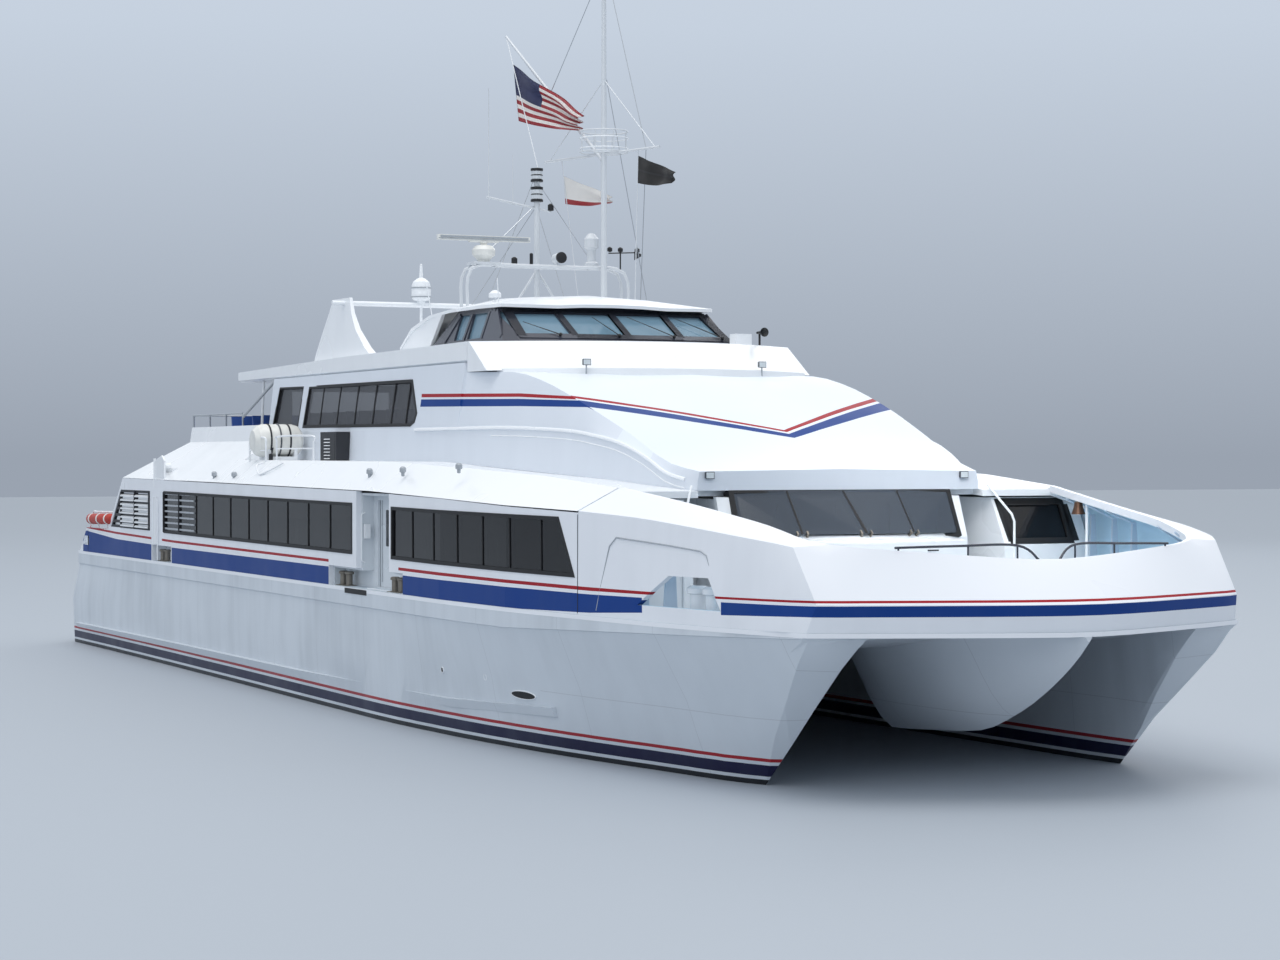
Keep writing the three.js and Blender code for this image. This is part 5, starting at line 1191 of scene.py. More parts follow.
# Columns: x, z.
STERN_RUN = [(-19.62, 2.68), (-19.5, 3.2), (-19.08, 3.78), (-18.4, 3.83), (-16.2, 3.86)]
STERN_POSTS = [(-18.4, 3.83), (-17.4, 3.84), (-16.4, 3.86)]
rails = Shape()
rails.tube(bend([(x, RAIL_Y, z) for x, z in STERN_RUN]), RAIL_RADIUS)
rails.tube([(-19.45, RAIL_Y, 3.28), (-16.75, RAIL_Y, 3.42)], BAR_RADIUS)
for x, top in STERN_POSTS:
    rails.tube([(x, RAIL_Y, 2.68), (x, RAIL_Y, top)], POST_RADIUS)
rails.both_sides()
across_stern = [(-19.9, -5.3, 3.7), (-19.9, -1.2, 3.7)]
for line in (across_stern, [(x, -y, z) for x, y, z in across_stern]):
    rails.tube(line, RAIL_RADIUS)
    rails.tube([(x, y, 3.2) for x, y, _ in line], BAR_RADIUS)
    posts_under(rails, line, MAIN_DECK, 1.0, POST_RADIUS)
rails.piece("stern_rails", white_enamel, "rail_metal")
print("stern rails", len(rails.faces), "faces")

# %% [markdown]
# The bow rails are two low dark loops on the bulwark's cap, each bent down at its inner end and held
# by three short posts.

# %% Bow rails
bow_rails = Shape()
BOW_LOOP = [(20.79, -2.62, 3.97), (20.98, -1.6, 3.99), (21.12, -0.55, 3.99), (21.2, -0.2, 3.76)]
BOW_POSTS = [(20.8, -2.56, 3.8), (21.0, -1.4, 3.78), (21.12, -0.55, 3.76)]
BOW_POST_HEAD = 3.975
bow_rails.tube(bend(BOW_LOOP), 0.02)
for x, y, foot in BOW_POSTS:
    bow_rails.tube([(x, y, foot), (x, y, BOW_POST_HEAD)], 0.016)
bow_rails.both_sides()
bow_rails.piece("bow_cap_rails", frame_enamel, "rail_metal")
print("bow rail posts", len(BOW_POSTS) * 2)

# %% [markdown]
# The raft deck has two hoops on each side that keep the canisters from rolling, and a low bar outside
# them. The open deck's canopy stands on bent posts with a brace at their heads.

# %% Raft hoops and canopy posts
# Columns: x and y of the after foot, height of the foot and of the hoop, its length.
HOOPS = [(-5.2, 5.2, 5.25, 5.86, 1.3), (-3.62, 5.02, 5.31, 5.88, 2.75)]
HOOP_BEND = 0.12
LOW_BAR = [(-3.66, 5.34, 5.26), (-3.5, 5.55, 5.2), (-3.25, 5.56, 5.0), (-2.7, 5.5, 5.08), (-2.24, 5.3, 5.26)]
raft_hoops = Shape()
for x, y, low, high, run in HOOPS:
    end, shoulder, middle = x + run, high - HOOP_BEND, (low + high) / 2
    after_half = [(x, y, low), (x, y, shoulder), (x + HOOP_BEND, y, high)]
    over_top = bend([*after_half, (end - HOOP_BEND, y, high), (end, y, shoulder)])
    raft_hoops.tube([*over_top, (end, y, low)], RAIL_RADIUS)
    raft_hoops.tube([(x, y, middle), (end, y, middle)], 0.016)
raft_hoops.tube(bend(LOW_BAR), 0.022)
raft_hoops.both_sides()
raft_hoops.piece("raft_deck_hoops", white_enamel, "rail_metal")

awning_posts = Shape()
awning_posts.tube([(-9.22, 3.6, 7.4), (-9.4, 3.6, 6.2), (-9.4, 3.6, 5.34)], 0.035)
awning_posts.tube([(-9.3, 3.6, 7.0), (-8.3, 3.6, 7.38)], 0.02)
awning_posts.both_sides()
awning_posts.piece("canopy_posts", white_enamel, "rail_metal")
print("hoops and posts bent")

# %% [markdown]
# Each liferaft sleeps in a glass fibre canister of two halves, with a rubber gasket where they meet and
# two bands of dark webbing that hold it shut. Rings just over the canister's skin make all three.
# Webbing also runs down to the cradle, and a release, a small can, joins it to the deck.

# %% Raft bands
RAFT_X, RAFT_Y, RAFT_Z, RAFT_RADIUS = -4.6, 4.72, 5.79, 0.4
RELEASE = [(0.02, 0), (0.05, 0.01), (0.05, 0.16), (0.02, 0.18)]


def raft_ring(shape, y, under, above, half):
    """A ring round the canister, from under its skin to above it."""
    inner, outer = RAFT_RADIUS - under, RAFT_RADIUS + above
    profile = [(inner, -half), (outer, -half), (outer, half), (inner, half)]
    shape.turned(profile, (RAFT_X, RAFT_Y + y, RAFT_Z), (0, 1, 0), sides=40)


bands, gasket = Shape(), Shape()
for y in (-0.24, 0.24):
    raft_ring(bands, y, 0.01, 0.01, 0.02)
raft_ring(gasket, 0, 0.02, 0.016, 0.016)
for side in (-1, 1):
    head = (RAFT_X + side * 0.36, RAFT_Y + 0.2, 5.62)
    bands.tube([head, (RAFT_X + side * 0.42, RAFT_Y + 0.27, 5.34)], 0.014, sides=6)
bands.turned(RELEASE, (RAFT_X + 0.42, RAFT_Y + 0.27, 5.3), sides=12)
bands.both_sides()
gasket.both_sides()
bands.piece("raft_bands", webbing, "louvre_metal")
gasket.piece("raft_gaskets", louvre_grey, "louvre_metal")
print("raft bands", len(bands.faces), "faces")

# %% [markdown]
# Forward of the rafts stands a ventilator box: a dark face with pale blades. Each blade is one thin
# tilted bar, repeated up the face.

# %% Ventilators
BLADE = [(-0.36, -0.004, -0.012), (0.36, -0.004, -0.012), (0.36, 0.014, 0.01), (-0.36, 0.014, 0.01)]
BLADE_PITCH = 0.075
vent_case = Shape().box((-2.42, -1.3), (4.0, 4.34), (5.16, 5.98)).both_sides()
vent_case.piece("raft_deck_ventilators", powder_coat, "louvre_metal")
vent_face = Shape().box((-2.35, -1.38), (4.335, 4.345), (5.24, 5.92)).both_sides()
vent_face.piece("ventilator_faces", powder_coat, "louvre_metal")
blade = Shape().slab(BLADE, (0, 0, 0.01))
blade_places = [(-1.9, 4.36, 5.36 + BLADE_PITCH * k) for k in range(7)]
spread("ventilator_blades", blade, white_enamel, "louvre_metal", mirrored(blade_places), size=0.6)
print("ventilator blades", len(blade_places) * 2)

# %% [markdown]
# On the side below, the engine room breathes through a band of level slats that starts where the
# windows end: grey ones in two bays, then white blades, which are painted light standing for the
# daylight seen through the louvre. Dark mullions stand between the bays.

# %% Slats and mullions
DAYLIGHT_SLAT = [(-0.7, -0.02, -0.026), (0.7, -0.02, -0.026), (0.7, 0.02, 0.0), (-0.7, 0.02, 0.0)]
# Columns: from x, to x, outer face, foot, head.
MULLIONS = [
    (-15.48, -15.44, 5.79, 3.46, 4.44),
    (-13.99, -13.95, 5.79, 3.46, 4.48),
    (-12.5, -12.44, 5.79, 3.46, 4.48),
    (-11.02, -10.96, 5.79, 3.44, 4.48),
    (-9.58, -9.54, 5.775, 3.44, 4.48),
]
slat = Shape().box((-0.68, 0.68), (-0.02, 0.02), (-0.022, 0.022))
slat_places = [(x, 5.735, 3.54 + 0.15 * k) for x in (-10.25, -8.87) for k in range(7)]
spread("engine_room_slats", slat, grey_enamel, "louvre_metal", mirrored(slat_places))
# Painted light: these white blades stand for the daylight seen through the louvre's gaps.
daylight_slat = Shape().slab(DAYLIGHT_SLAT, (0, 0, 0.035))
daylight_places = [(x, 5.775, 3.52 + 0.117 * k) for x in (-14.75, -13.22) for k in range(8)]
spread("after_louvre_blades", daylight_slat, white_enamel, "louvre_metal", mirrored(daylight_places))
posts = Shape()
for start, end, out, low, high in MULLIONS:
    posts.box((start, end), (5.74, out), (low, high))
posts.both_sides()
posts.piece("louvre_mullions", powder_coat, "louvre_metal")
print("slats", len(slat_places) * 2 + len(daylight_places) * 2)

# %% [markdown]
# Two floodlights stand on short stalks over the hood, two hang at its front edge, and small lamps
# run along the roof's edge over the side deck. Each kind is made once and spread over its places. A
# rule for the sloping hood says how high it lies, from its centre line, its crease and its width.

# %% Floodlights and lamps
# Columns: x, and in turn the height on the centre line, the height at the crease and the half width.
HOOD_CENTRE = [(5.44, 7.16), (7.2, 7.16), (8.5, 7.06), (10.3, 6.6), (12.2, 5.95), (13.7, 5.4)]
HOOD_CREASE = [(5.44, 7.16), (7.2, 7.12), (8.5, 6.93), (10.3, 6.46), (12.2, 5.83), (13.7, 5.28)]
HOOD_HALF = [(5.44, 3.76), (7.2, 3.46), (8.5, 3.42), (10.3, 3.35), (12.2, 3.19), (13.7, 3.07)]


def hood_top(x, y):
    """Height of the sloping hood over a place."""
    centre, crease, half = (lookup(table, x) for table in (HOOD_CENTRE, HOOD_CREASE, HOOD_HALF))
    return centre + (crease - centre) * min(1, abs(y) / half)


flood = Shape().rings(
    [
        [(-0.07, -0.13, 0.12), (-0.07, 0.13, 0.12), (-0.07, 0.13, 0.3), (-0.07, -0.13, 0.3)],
        [(0.06, -0.15, 0.1), (0.06, 0.15, 0.1), (0.06, 0.15, 0.32), (0.06, -0.15, 0.32)],
    ]
)
lens = Shape().box((0.055, 0.068), (-0.13, 0.13), (0.12, 0.3))
BROW_FLOODS = [(7.85, -2.13), (7.85, 1.88)]
STALK = 0.2
FLOOD_SIZE, LAMP_SIZE = 0.58, 0.75
LAMP = [(0.03, -0.02), (0.045, 0), (0.05, 0.08), (0.09, 0.1), (0.09, 0.2), (0.06, 0.24), (0.02, 0.25)]
FLOOD_PLACES = [(x, y, hood_top(x, y) + STALK - 0.06) for x, y in BROW_FLOODS]
FLOOD_PLACES += [(14.53, -2.72, 4.95), (14.53, 2.6, 4.95)]
stalks = Shape()
for x, y in BROW_FLOODS:
    stalks.tube([(x, y, hood_top(x, y) - 0.04), (x, y, hood_top(x, y) + STALK)], 0.016, sides=8)
stalks.piece("floodlight_stalks", grey_enamel, "rail_metal")
spread("deck_floodlights", flood, frame_enamel, "rail_metal", FLOOD_PLACES, size=FLOOD_SIZE)
spread("floodlight_lenses", lens, lamp_glass, "rail_metal", FLOOD_PLACES, size=FLOOD_SIZE)

lamp = Shape().turned(LAMP, (0, 0, 0), sides=12)
EDGE_LAMPS = [(-6.81, 5.62, 4.86), (-5.11, 5.62, 4.86), (4.3, 5.5, 4.98), (6.2, 5.46, 5.02)]
EDGE_LAMPS += [(9.2, 5.42, 5.1)]
spread("roof_edge_lamps", lamp, grey_enamel, "rail_metal", mirrored(EDGE_LAMPS), size=LAMP_SIZE)
print("floodlights", len(FLOOD_PLACES), "edge lamps", len(EDGE_LAMPS) * 2)

# %% [markdown]
# The wheelhouse is framed in dark enamel. Four raked panes look ahead between dark bars, edged above
# and below, and leaning bars divide the glass of each side.

# %% Wheelhouse window bars
BAR_OUT, EDGE_OUT = 0.02, 0.018
BRIDGE_EDGES = (-2.5, -1.25, 0, 1.25, 2.5)
# Columns: x at the foot and at the head of each bar on the side.
SIDE_BARS = [(1.35, 1.9), (2.5, 2.62), (3.55, 3.62), (4.68, 4.02)]
trim = Shape()
for y in BRIDGE_EDGES[1:-1]:
    strip(trim, bridge_front, (y, 7.97), (y, 8.52), 0.15, front=BAR_OUT)
for side in SIDES.values():
    strip(trim, bridge_front, (side * 2.42, 7.95), (side * 2.32, 8.54), 0.2, front=BAR_OUT)
for low, high in zip(BRIDGE_EDGES, BRIDGE_EDGES[1:]):
    strip(trim, bridge_front, (low, 7.95), (high, 7.95), 0.1, front=EDGE_OUT)
    strip(trim, bridge_front, (low * 0.97, 8.53), (high * 0.97, 8.53), 0.08, front=EDGE_OUT)
for x0, x1 in SIDE_BARS:
    strip(trim, bridge_side, (x0, 7.96), (x1, 8.54), 0.1, front=BAR_OUT)
trim.both_sides()
trim.piece("wheelhouse_window_bars", frame_enamel, "wheelhouse_frame")
print("window bars", len(trim.faces), "faces")

# %% [markdown]
# Each front pane has its wiper, parked aslant: an arm, a thinner blade that overlaps it, and a knob
# over the pivot.

# %% Wheelhouse wipers
# Columns: foot and tip, each as y and z on the front glass.
WIPERS = [
    ((-1.6, 7.95), (-2.2, 8.24)),
    ((-0.25, 7.95), (-0.55, 8.38)),
    ((1.05, 7.95), (0.3, 8.4)),
    ((2.3, 7.95), (1.45, 8.4)),
]
wipers = Shape()
for base, tip in WIPERS:
    foot, end = bridge_front(*base, 0.05), bridge_front(*tip, 0.045)
    wipers.tube([foot, foot.lerp(end, 0.55)], 0.011, sides=6)
    wipers.tube([foot.lerp(end, 0.35), end], 0.008, sides=6)
    wipers.turned([(0.03, -0.03), (0.035, 0.02), (0.02, 0.035)], foot, (1, 0, 0.6), sides=10)
wipers.piece("window_wipers", black_plastic, "louvre_metal")
print("wipers", len(WIPERS))

# %% [markdown]
# Where the brow under the windows meets the hood runs a white moulding, bowed forward in the middle.
# It is a skin over 25 small rings.

# %% Moulding at the brow's foot
MOULDING_HALF, BROW_HALF = 3.5, 3.76
MOULDING_FRONT, MOULDING_SIDE = 8.27, 6.51
MOULDING_TOP = 7.2
moulding = Shape()
rows = []
for k in range(25):
    y = -MOULDING_HALF + 2 * MOULDING_HALF * k / 24
    x = MOULDING_FRONT + (MOULDING_SIDE - MOULDING_FRONT) * (y / BROW_HALF) ** 2
    top, low = MOULDING_TOP, hood_top(x, y) - 0.03
    rows.append([(x + 0.015, y, top), (x + 0.035, y, low), (x - 0.3, y, low), (x - 0.3, y, top)])
moulding.rings(rows)
moulding.piece("brow_foot_moulding", white_enamel, "house_paint")
print("moulding of", len(rows), "rings")

# %% [markdown]
# A box and a horn stand before the front panes. On the roof are a small dome and two whip aerials.

# %% Wheelhouse fittings
DOME = [(0.02, 0), (0.02, 0.05), (0.14, 0.07), (0.14, 0.15), (0.06, 0.22), (0.02, 0.23)]
bridge_top = Shape()
bridge_top.box((6.0, 6.3), (2.08, 2.46), (7.72, 8.04))
bridge_top.turned(DOME, (2.4, -1.9, 8.86), sides=18)
bridge_top.tube([(3.9, -2.42, 8.66), (3.9, -2.46, 9.25)], 0.012, sides=6)
bridge_top.tube([(0.1, -2.5, 8.55), (0.05, -2.62, 9.3)], 0.014, sides=6)
bridge_top.piece("wheelhouse_fittings", white_enamel, "mast_paint")

horn = Shape()
HORN = [(0.03, 0), (0.035, 0.12), (0.05, 0.2), (0.08, 0.28), (0.1, 0.32), (0.1, 0.33), (0.03, 0.28)]
horn.turned(HORN, (6.1, 2.7, 8.08), (1, 0, 0), sides=16)
horn.tube([(6.2, 2.7, 7.7), (6.2, 2.7, 8.07)], 0.025, sides=8)
horn.piece("air_horn", black_plastic, "louvre_metal")
print("wheelhouse fitted")

# %% [markdown]
# Masts carry black navigation lanterns, one over the other, and a round searchlight with a black face.
# Each is turned from a profile of radius and height.

# %% Mast lanterns
MAST_LIGHT = [(0.03, 0), (0.09, 0.01), (0.09, 0.05), (0.07, 0.07), (0.07, 0.2), (0.09, 0.22), (0.03, 0.25)]
SMALL_LIGHT = [(0.03, 0), (0.07, 0.01), (0.07, 0.14), (0.03, 0.17)]
SEARCH_FACE = [(0.1, 0), (0.13, 0.01), (0.13, 0.05), (0.1, 0.06)]
lanterns = Shape()
for low, high in ((11.3, 11.64), (11.76, 12.07)):
    middle = (low + high) / 2
    lower = [(0.08, low), (0.145, low), (0.145, low + 0.05), (0.12, low + 0.07), (0.12, middle - 0.02)]
    upper = [(0.145, middle), (0.12, middle + 0.02), (0.12, high - 0.07), (0.145, high - 0.05)]
    lanterns.turned([*lower, *upper, (0.145, high), (0.08, high + 0.01)], (0.3, 0, 0), sides=20)
lanterns.turned(MAST_LIGHT, (1.36, 1.33, 16.5))
lanterns.box((1.12, 1.4), (1.3, 1.36), (16.44, 16.5))
lanterns.turned(SEARCH_FACE, (1.0, 0.3, 9.97), (1, 0, 0.05))
lanterns.turned(SMALL_LIGHT, (0.75, -0.75, 9.8))
lanterns.turned(SMALL_LIGHT, (0.3, 0.35, 11.1))
lanterns.piece("navigation_lanterns", black_plastic, "mast_paint")
print("lanterns", len(lanterns.faces), "faces")

# %% [markdown]
# The wind instruments stand on a short pole of their own: a cross bar with three cups and a vane.

# %% Wind instruments
CUP = [(0.02, 0), (0.06, 0.02), (0.06, 0.09), (0.02, 0.12)]
VANE = [(0.7, 2.3, 10.0), (1.05, 2.3, 10.06), (1.05, 2.3, 10.12), (0.7, 2.3, 10.2)]
instruments = Shape()
instruments.tube([(0.9, 1.85, 9.72), (0.9, 1.85, 10.18)], 0.018)
instruments.tube([(0.9, 1.55, 10.12), (0.9, 2.3, 10.16)], 0.014)
for y in (1.58, 1.85, 2.28):
    instruments.turned(CUP, (0.9, y, 10.15), sides=12)
instruments.slab(VANE, (0, 0.015, 0))
instruments.turned([(0.02, 0), (0.04, 0.01), (0.04, 0.25), (0.02, 0.27)], (0.8, -0.35, 9.8), sides=10)
instruments.piece("wind_instruments", black_plastic, "mast_paint")
print("wind instruments", len(instruments.faces), "faces")

# %% [markdown]
# Thin stays hold the masts upright. They are taut wire, so each is a straight thin tube from one
# fitting to the next.

# %% Stays
# Columns: upper end, lower end.
STAYS = [
    ((1.12, 1.33, 16.9), (2.5, 1.75, 12.4)),
    ((2.5, 1.75, 12.38), (2.3, 1.7, 8.85)),
    ((1.08, 1.3, 16.6), (-0.6, 0.75, 14.0)),
    ((1.12, 1.4, 14.1), (1.4, 2.35, 8.72)),
    ((0.3, 0.06, 11.7), (0.75, 1.3, 9.76)),
    ((0.3, -0.06, 11.2), (0.75, -1.75, 9.74)),
    ((0.26, 0, 11.2), (-0.95, -1.5, 8.4)),
    ((0.26, 0, 11.2), (-0.95, 1.5, 8.4)),
    ((0.3, 0, 12.0), (-3.3, 0.2, 9.1)),
]
STAY_RADIUS = 0.009
stays = Shape()
for head, foot in STAYS:
    stays.tube([head, foot], STAY_RADIUS, sides=5)
stays.piece("mast_stays", stainless, "rail_metal")
print("stays", len(STAYS))

# %% [markdown]
# Rings and bands finish the mast's gear: two rings round the crow's basket, two round the aerial dome,
# and two grey bands along the face of the radar's scanner, which turn with it.

# %% Rings and bands
BASKET_X, BASKET_Y, BASKET_RADIUS = 1.12, 1.33, 0.56
basket = Shape()
for z in (12.5, 12.74):
    ring = []
    for t in [k * math.pi / 12 for k in range(24)]:
        ring.append((BASKET_X + BASKET_RADIUS * math.cos(t), BASKET_Y + BASKET_RADIUS * math.sin(t), z))
    basket.tube(ring + ring[:1], 0.014, sides=6)
basket.tube([(BASKET_X - 0.55, BASKET_Y, 12.43), (BASKET_X + 0.55, BASKET_Y, 12.43)], 0.016)
basket.piece("crow_basket_rings", white_enamel, "mast_paint")

dome_rings = Shape()
for z in (9.24, 9.46):
    dome_rings.turned([(0.2, z), (0.249, z), (0.249, z + 0.03), (0.2, z + 0.03)], (-3.3, -1.5, 0), sides=32)
dome_rings.piece("dome_rings", grey_enamel, "mast_paint")

scanner_face = Shape().box((0.78, 0.895), (-2.64, -0.42), (10.325, 10.345))
scanner_face.box((0.86, 0.893), (-2.6, -0.46), (10.36, 10.4))
scanner_face.piece("radar_scanner_bands", grey_enamel, "radar_shell", body="radar_scanner")
print("rings and bands done")

# %% [markdown]
# The flags are woven nylon bunting. Stripes are sewn, so they follow the cloth: the material reads the
# cloth's own UV map. Real threads are too fine to show, so 90 are drawn across a flag, each about
# 15 mm wide on the real cloth.

# %% Bunting
THREADS = 90.0  # drawn across a flag
MOST_FADED = 0.16


def bunting(name):
    """Woven nylon, with the two axes of its UV map for the stripes."""
    material, tree, shader = start_material(name, "#F2F2F0", Roughness=0.75, Sheen_Weight=0.25)
    cloth = add(tree, "ShaderNodeUVMap", uv_map="cloth").outputs[0]
    axes = add(tree, "ShaderNodeSeparateXYZ", {0: cloth})
    threads = add(tree, "ShaderNodeTexNoise", {"Vector": cloth, "Scale": THREADS, "Detail": 2.0})
    bump = add(tree, "ShaderNodeBump", {"Height": threads.outputs[0], "Strength": 0.4, "Distance": 0.001})
    tree.links.new(bump.outputs[0], shader.inputs["Normal"])
    return material, tree, shader, axes.outputs["X"], axes.outputs["Y"]


def fade(tree, shader, colour):
    """Sun and salt lighten the dye in soft patches."""
    place = add(tree, "ShaderNodeTexCoord")
    patch = add(tree, "ShaderNodeTexNoise", {"Vector": place.outputs["Object"], "Scale": 3.0, "Detail": 3.0})
    share = add(tree, "ShaderNodeMapRange", {"Value": patch.outputs[0], "To Max": MOST_FADED})
    faded = paint_over(tree, colour, share.outputs[0], "#CFCBC6")
    tree.links.new(faded, shader.inputs["Base Color"])


STRIPE_COUNT = 13
CANTON = (0.4, 0.46)  # share of the fly, and lowest share of the hoist
ensign_cloth, tree, shader, u, v = bunting("striped_nylon_bunting")
rows = add(tree, "ShaderNodeMath", {0: v, 1: STRIPE_COUNT / 2}, operation="MULTIPLY")
share = add(tree, "ShaderNodeMath", {0: rows.outputs[0]}, operation="FRACT").outputs[0]
colour = paint_over(tree, linear("#F0EDEA"), between_edges(tree, share, -0.1, 0.5), "#B02B38")
in_fly = between_edges(tree, u, -0.1, CANTON[0])
in_hoist = between_edges(tree, v, CANTON[1], 1.1)
canton = add(tree, "ShaderNodeMath", {0: in_fly, 1: in_hoist}, operation="MULTIPLY").outputs[0]
fade(tree, shader, paint_over(tree, colour, canton, "#2A3566"))

banded_cloth, tree, shader, _, v = bunting("white_nylon_bunting_with_red_band")
fade(tree, shader, paint_over(tree, linear("#F1EFEC"), between_edges(tree, v, -0.1, 0.2), "#B3303A"))

dark_cloth, tree, shader, _, v = bunting("black_nylon_bunting")
fade(tree, shader, paint_over(tree, linear("#17181C"), between_edges(tree, v, 0.46, 0.54), "#2B2D33"))
CLOTHS = {"ensign": ensign_cloth, "after_signal_flag": banded_cloth, "forward_signal_flag": dark_cloth}
print("cloths", len(CLOTHS))

# %% [markdown]
# Each flag is a fine grid stretched between its halyard and the two corners of the fly. Waves run out
# from the hoist, and since the wind has gathered the fly, pleats deepen towards it.

# %% Flags
CLOTH_THICK = 0.0008  # metres on the model
SAG = 0.05  # how far the cloth hangs between hoist and fly, at its foot
# Hoist top and foot, then fly top and foot.
ENSIGN = [(-1.47, 0.145, 14.72), (-1.07, 0.117, 13.33), (0.88, 0.94, 13.27), (0.73, 0.9, 12.94)]
AFTER_SIGNAL = [(-0.33, 0.95, 12.0), (-0.29, 0.98, 11.34), (1.06, 1.56, 11.42), (1.06, 1.56, 11.26)]
FORWARD_SIGNAL = [(2.3, 1.65, 12.24), (2.28, 1.65, 11.62), (3.39, 2.09, 11.78), (3.28, 2.05, 11.54)]
# Columns: the four corners, pleats at the fly, their depth, depth of the waves.
FLAGS = {
    "ensign": (*ENSIGN, 2.4, 0.1, 0.1),
    "after_signal_flag": (*AFTER_SIGNAL, 1.5, 0.06, 0.05),
    "forward_signal_flag": (*FORWARD_SIGNAL, 1.2, 0.05, 0.05),
}


def flag_mesh(name, top, low, fly_top, fly_low, pleats, pleat_depth, wave_depth):
    """A gathered flag, its cloth's area in square metres, and its hoist's length, on the model."""
    columns, rows = 56, 44
    top, low, fly_top, fly_low = (Vector(p) * MODEL for p in (top, low, fly_top, fly_low))
    away = (fly_top - top) - Vector((0, 0, (fly_top - top).z))
    normal = away.normalized().cross(Vector((0, 0, 1)))
    bm = bmesh.new()
    cloth = bm.loops.layers.uv.new("cloth")
    grid = []
    for i in range(columns + 1):
        u = i / columns
        gather = u * u * (3 - 2 * u)
        line = []
        for j in range(rows + 1):
            v = j / rows
            base = low.lerp(top, v).lerp(fly_low.lerp(fly_top, v), u)
            wave = wave_depth * min(1, 3 * u) * math.sin(2 * math.pi * (1.5 * u - 0.18 * v))
            pleat = pleat_depth * gather * math.sin(2 * math.pi * (pleats * v + 0.35 * u))
            sag = SAG * math.sin(math.pi * u) * (1 - v)
            line.append(bm.verts.new(base + normal * (wave + pleat) * MODEL - Vector((0, 0, sag * MODEL))))
        grid.append(line)
    for i in range(columns):
        for j in range(rows):
            face = bm.faces.new((grid[i][j], grid[i + 1][j], grid[i + 1][j + 1], grid[i][j + 1]))
            face.smooth = True
            for loop, (a, b) in zip(face.loops, ((i, j), (i + 1, j), (i + 1, j + 1), (i, j + 1))):
                loop[cloth].uv = (a / columns, b / rows)
    area = sum(face.calc_area() for face in bm.faces)
    bmesh.ops.solidify(bm, geom=bm.faces[:], thickness=CLOTH_THICK)
    mesh = bpy.data.meshes.new(name)
    bm.to_mesh(mesh)
    bm.free()
    return mesh, area, (top - low).length


for name, row in FLAGS.items():
    mesh, area, hoist = flag_mesh("nylon_" + name, *row)
    mesh.materials.append(CLOTHS[name])
    flag = link("nylon_" + name, mesh)
    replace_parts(flag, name)
    print(name, "hoist", round(hoist, 3), "fly", round(area / hoist, 3), "m on the model")

# %% [markdown]
# A welded half-round bead runs along the upper cabin's sill and sweeps down with the hood. It stiffens
# the plating and throws the one soft line that the eye follows from the windows to the foredeck.

# %% Sill bead
# Columns: x, y, z.
SILL = [(2.95, 3.99, 5.99), (5.4, 3.985, 5.99), (7.2, 3.92, 5.99), (8.5, 3.82, 5.97), (10.3, 3.62, 5.9)]
SILL += [(11.3, 3.51, 5.8), (12.2, 3.4, 5.66), (13.0, 3.29, 5.42), (13.7, 3.18, 5.12), (14.2, 3.04, 5.0)]
sill_bead = Shape().tube(bend(SILL), 0.035)
sill_bead.tube(bend([(x, y + 0.012, z - 0.16) for x, y, z in SILL[2:]]), 0.014)
sill_bead.both_sides()
sill_bead.piece("upper_sill_beads", white_enamel, "house_paint")
print("sill bead", len(SILL), "points")

# %% [markdown]
# Over the after mooring recess a folding gate plate stands up from the side, with a lamp, a short tube
# and a post.

# %% Mooring gate plates
# Columns: x, z.
GATE = [(-12.12, 4.3), (-11.05, 4.3), (-11.05, 5.3), (-11.3, 5.44), (-12.0, 5.3)]
LATCH = [(-11.9, 3.1), (-11.62, 3.1), (-11.62, 4.34), (-11.9, 4.34)]
gates = Shape()
gates.slab([(x, 5.7, z) for x, z in GATE], (0, 0.04, 0))
gates.slab([(x, 5.78, z) for x, z in LATCH], (0, 0.03, 0))
gates.tube([(-11.5, 5.8, 4.3), (-11.5, 5.8, 2.7)], 0.018)
gates.tube([(-12.0, 5.74, 4.6), (-12.0, 5.74, 5.36)], 0.03)
gates.turned([(0.02, 0), (0.12, 0.01), (0.12, 0.2), (0.02, 0.22)], (-11.6, 5.42, 5.13), (0, 1, 0), sides=18)
gates.box((-11.95, -11.1), (5.28, 5.5), (4.98, 5.1))
gates.both_sides()
gates.piece("mooring_gate_plates", white_enamel, "house_paint")
print("gate plates", len(gates.faces), "faces")

# %% [markdown]
# The stern rail carries a rescue float: a long orange-red roll of coated foam with three white bands,
# which follow its slight slope.

# %% Rescue floats
FLOAT = [(0.02, -1.3), (0.1, -1.27), (0.15, -1.18), (0.15, 1.18), (0.1, 1.27), (0.02, 1.3)]
FLOAT_X, FLOAT_Y, FLOAT_Z, FLOAT_SLOPE = -17.9, 5.72, 3.64, 0.02
FLOAT_BAND = [(0.14, -0.06), (0.158, -0.06), (0.158, 0.06), (0.14, 0.06)]
slope = (1, 0, FLOAT_SLOPE)
floats = Shape()
floats.turned(FLOAT, (FLOAT_X, FLOAT_Y, FLOAT_Z), slope, sides=20)
floats.both_sides()
floats.piece("rescue_floats", rescue_red, "raft_shell")
float_bands = Shape()
for x in (-18.8, -17.9, -17.0):
    z = FLOAT_Z + (x - FLOAT_X) * FLOAT_SLOPE
    float_bands.turned(FLOAT_BAND, (x, FLOAT_Y, z), slope, sides=24)
float_bands.both_sides()
float_bands.piece("rescue_float_bands", glass_fibre, "raft_shell")
print("rescue floats done")

# %% [markdown]
# The boarding recess has a locker, a small box and a grab handle on each side. Under it the side
# plating is broken by a slot, drawn as a black strip of painted shade, and thin upright seams close
# it at the stern and at the bulwark.

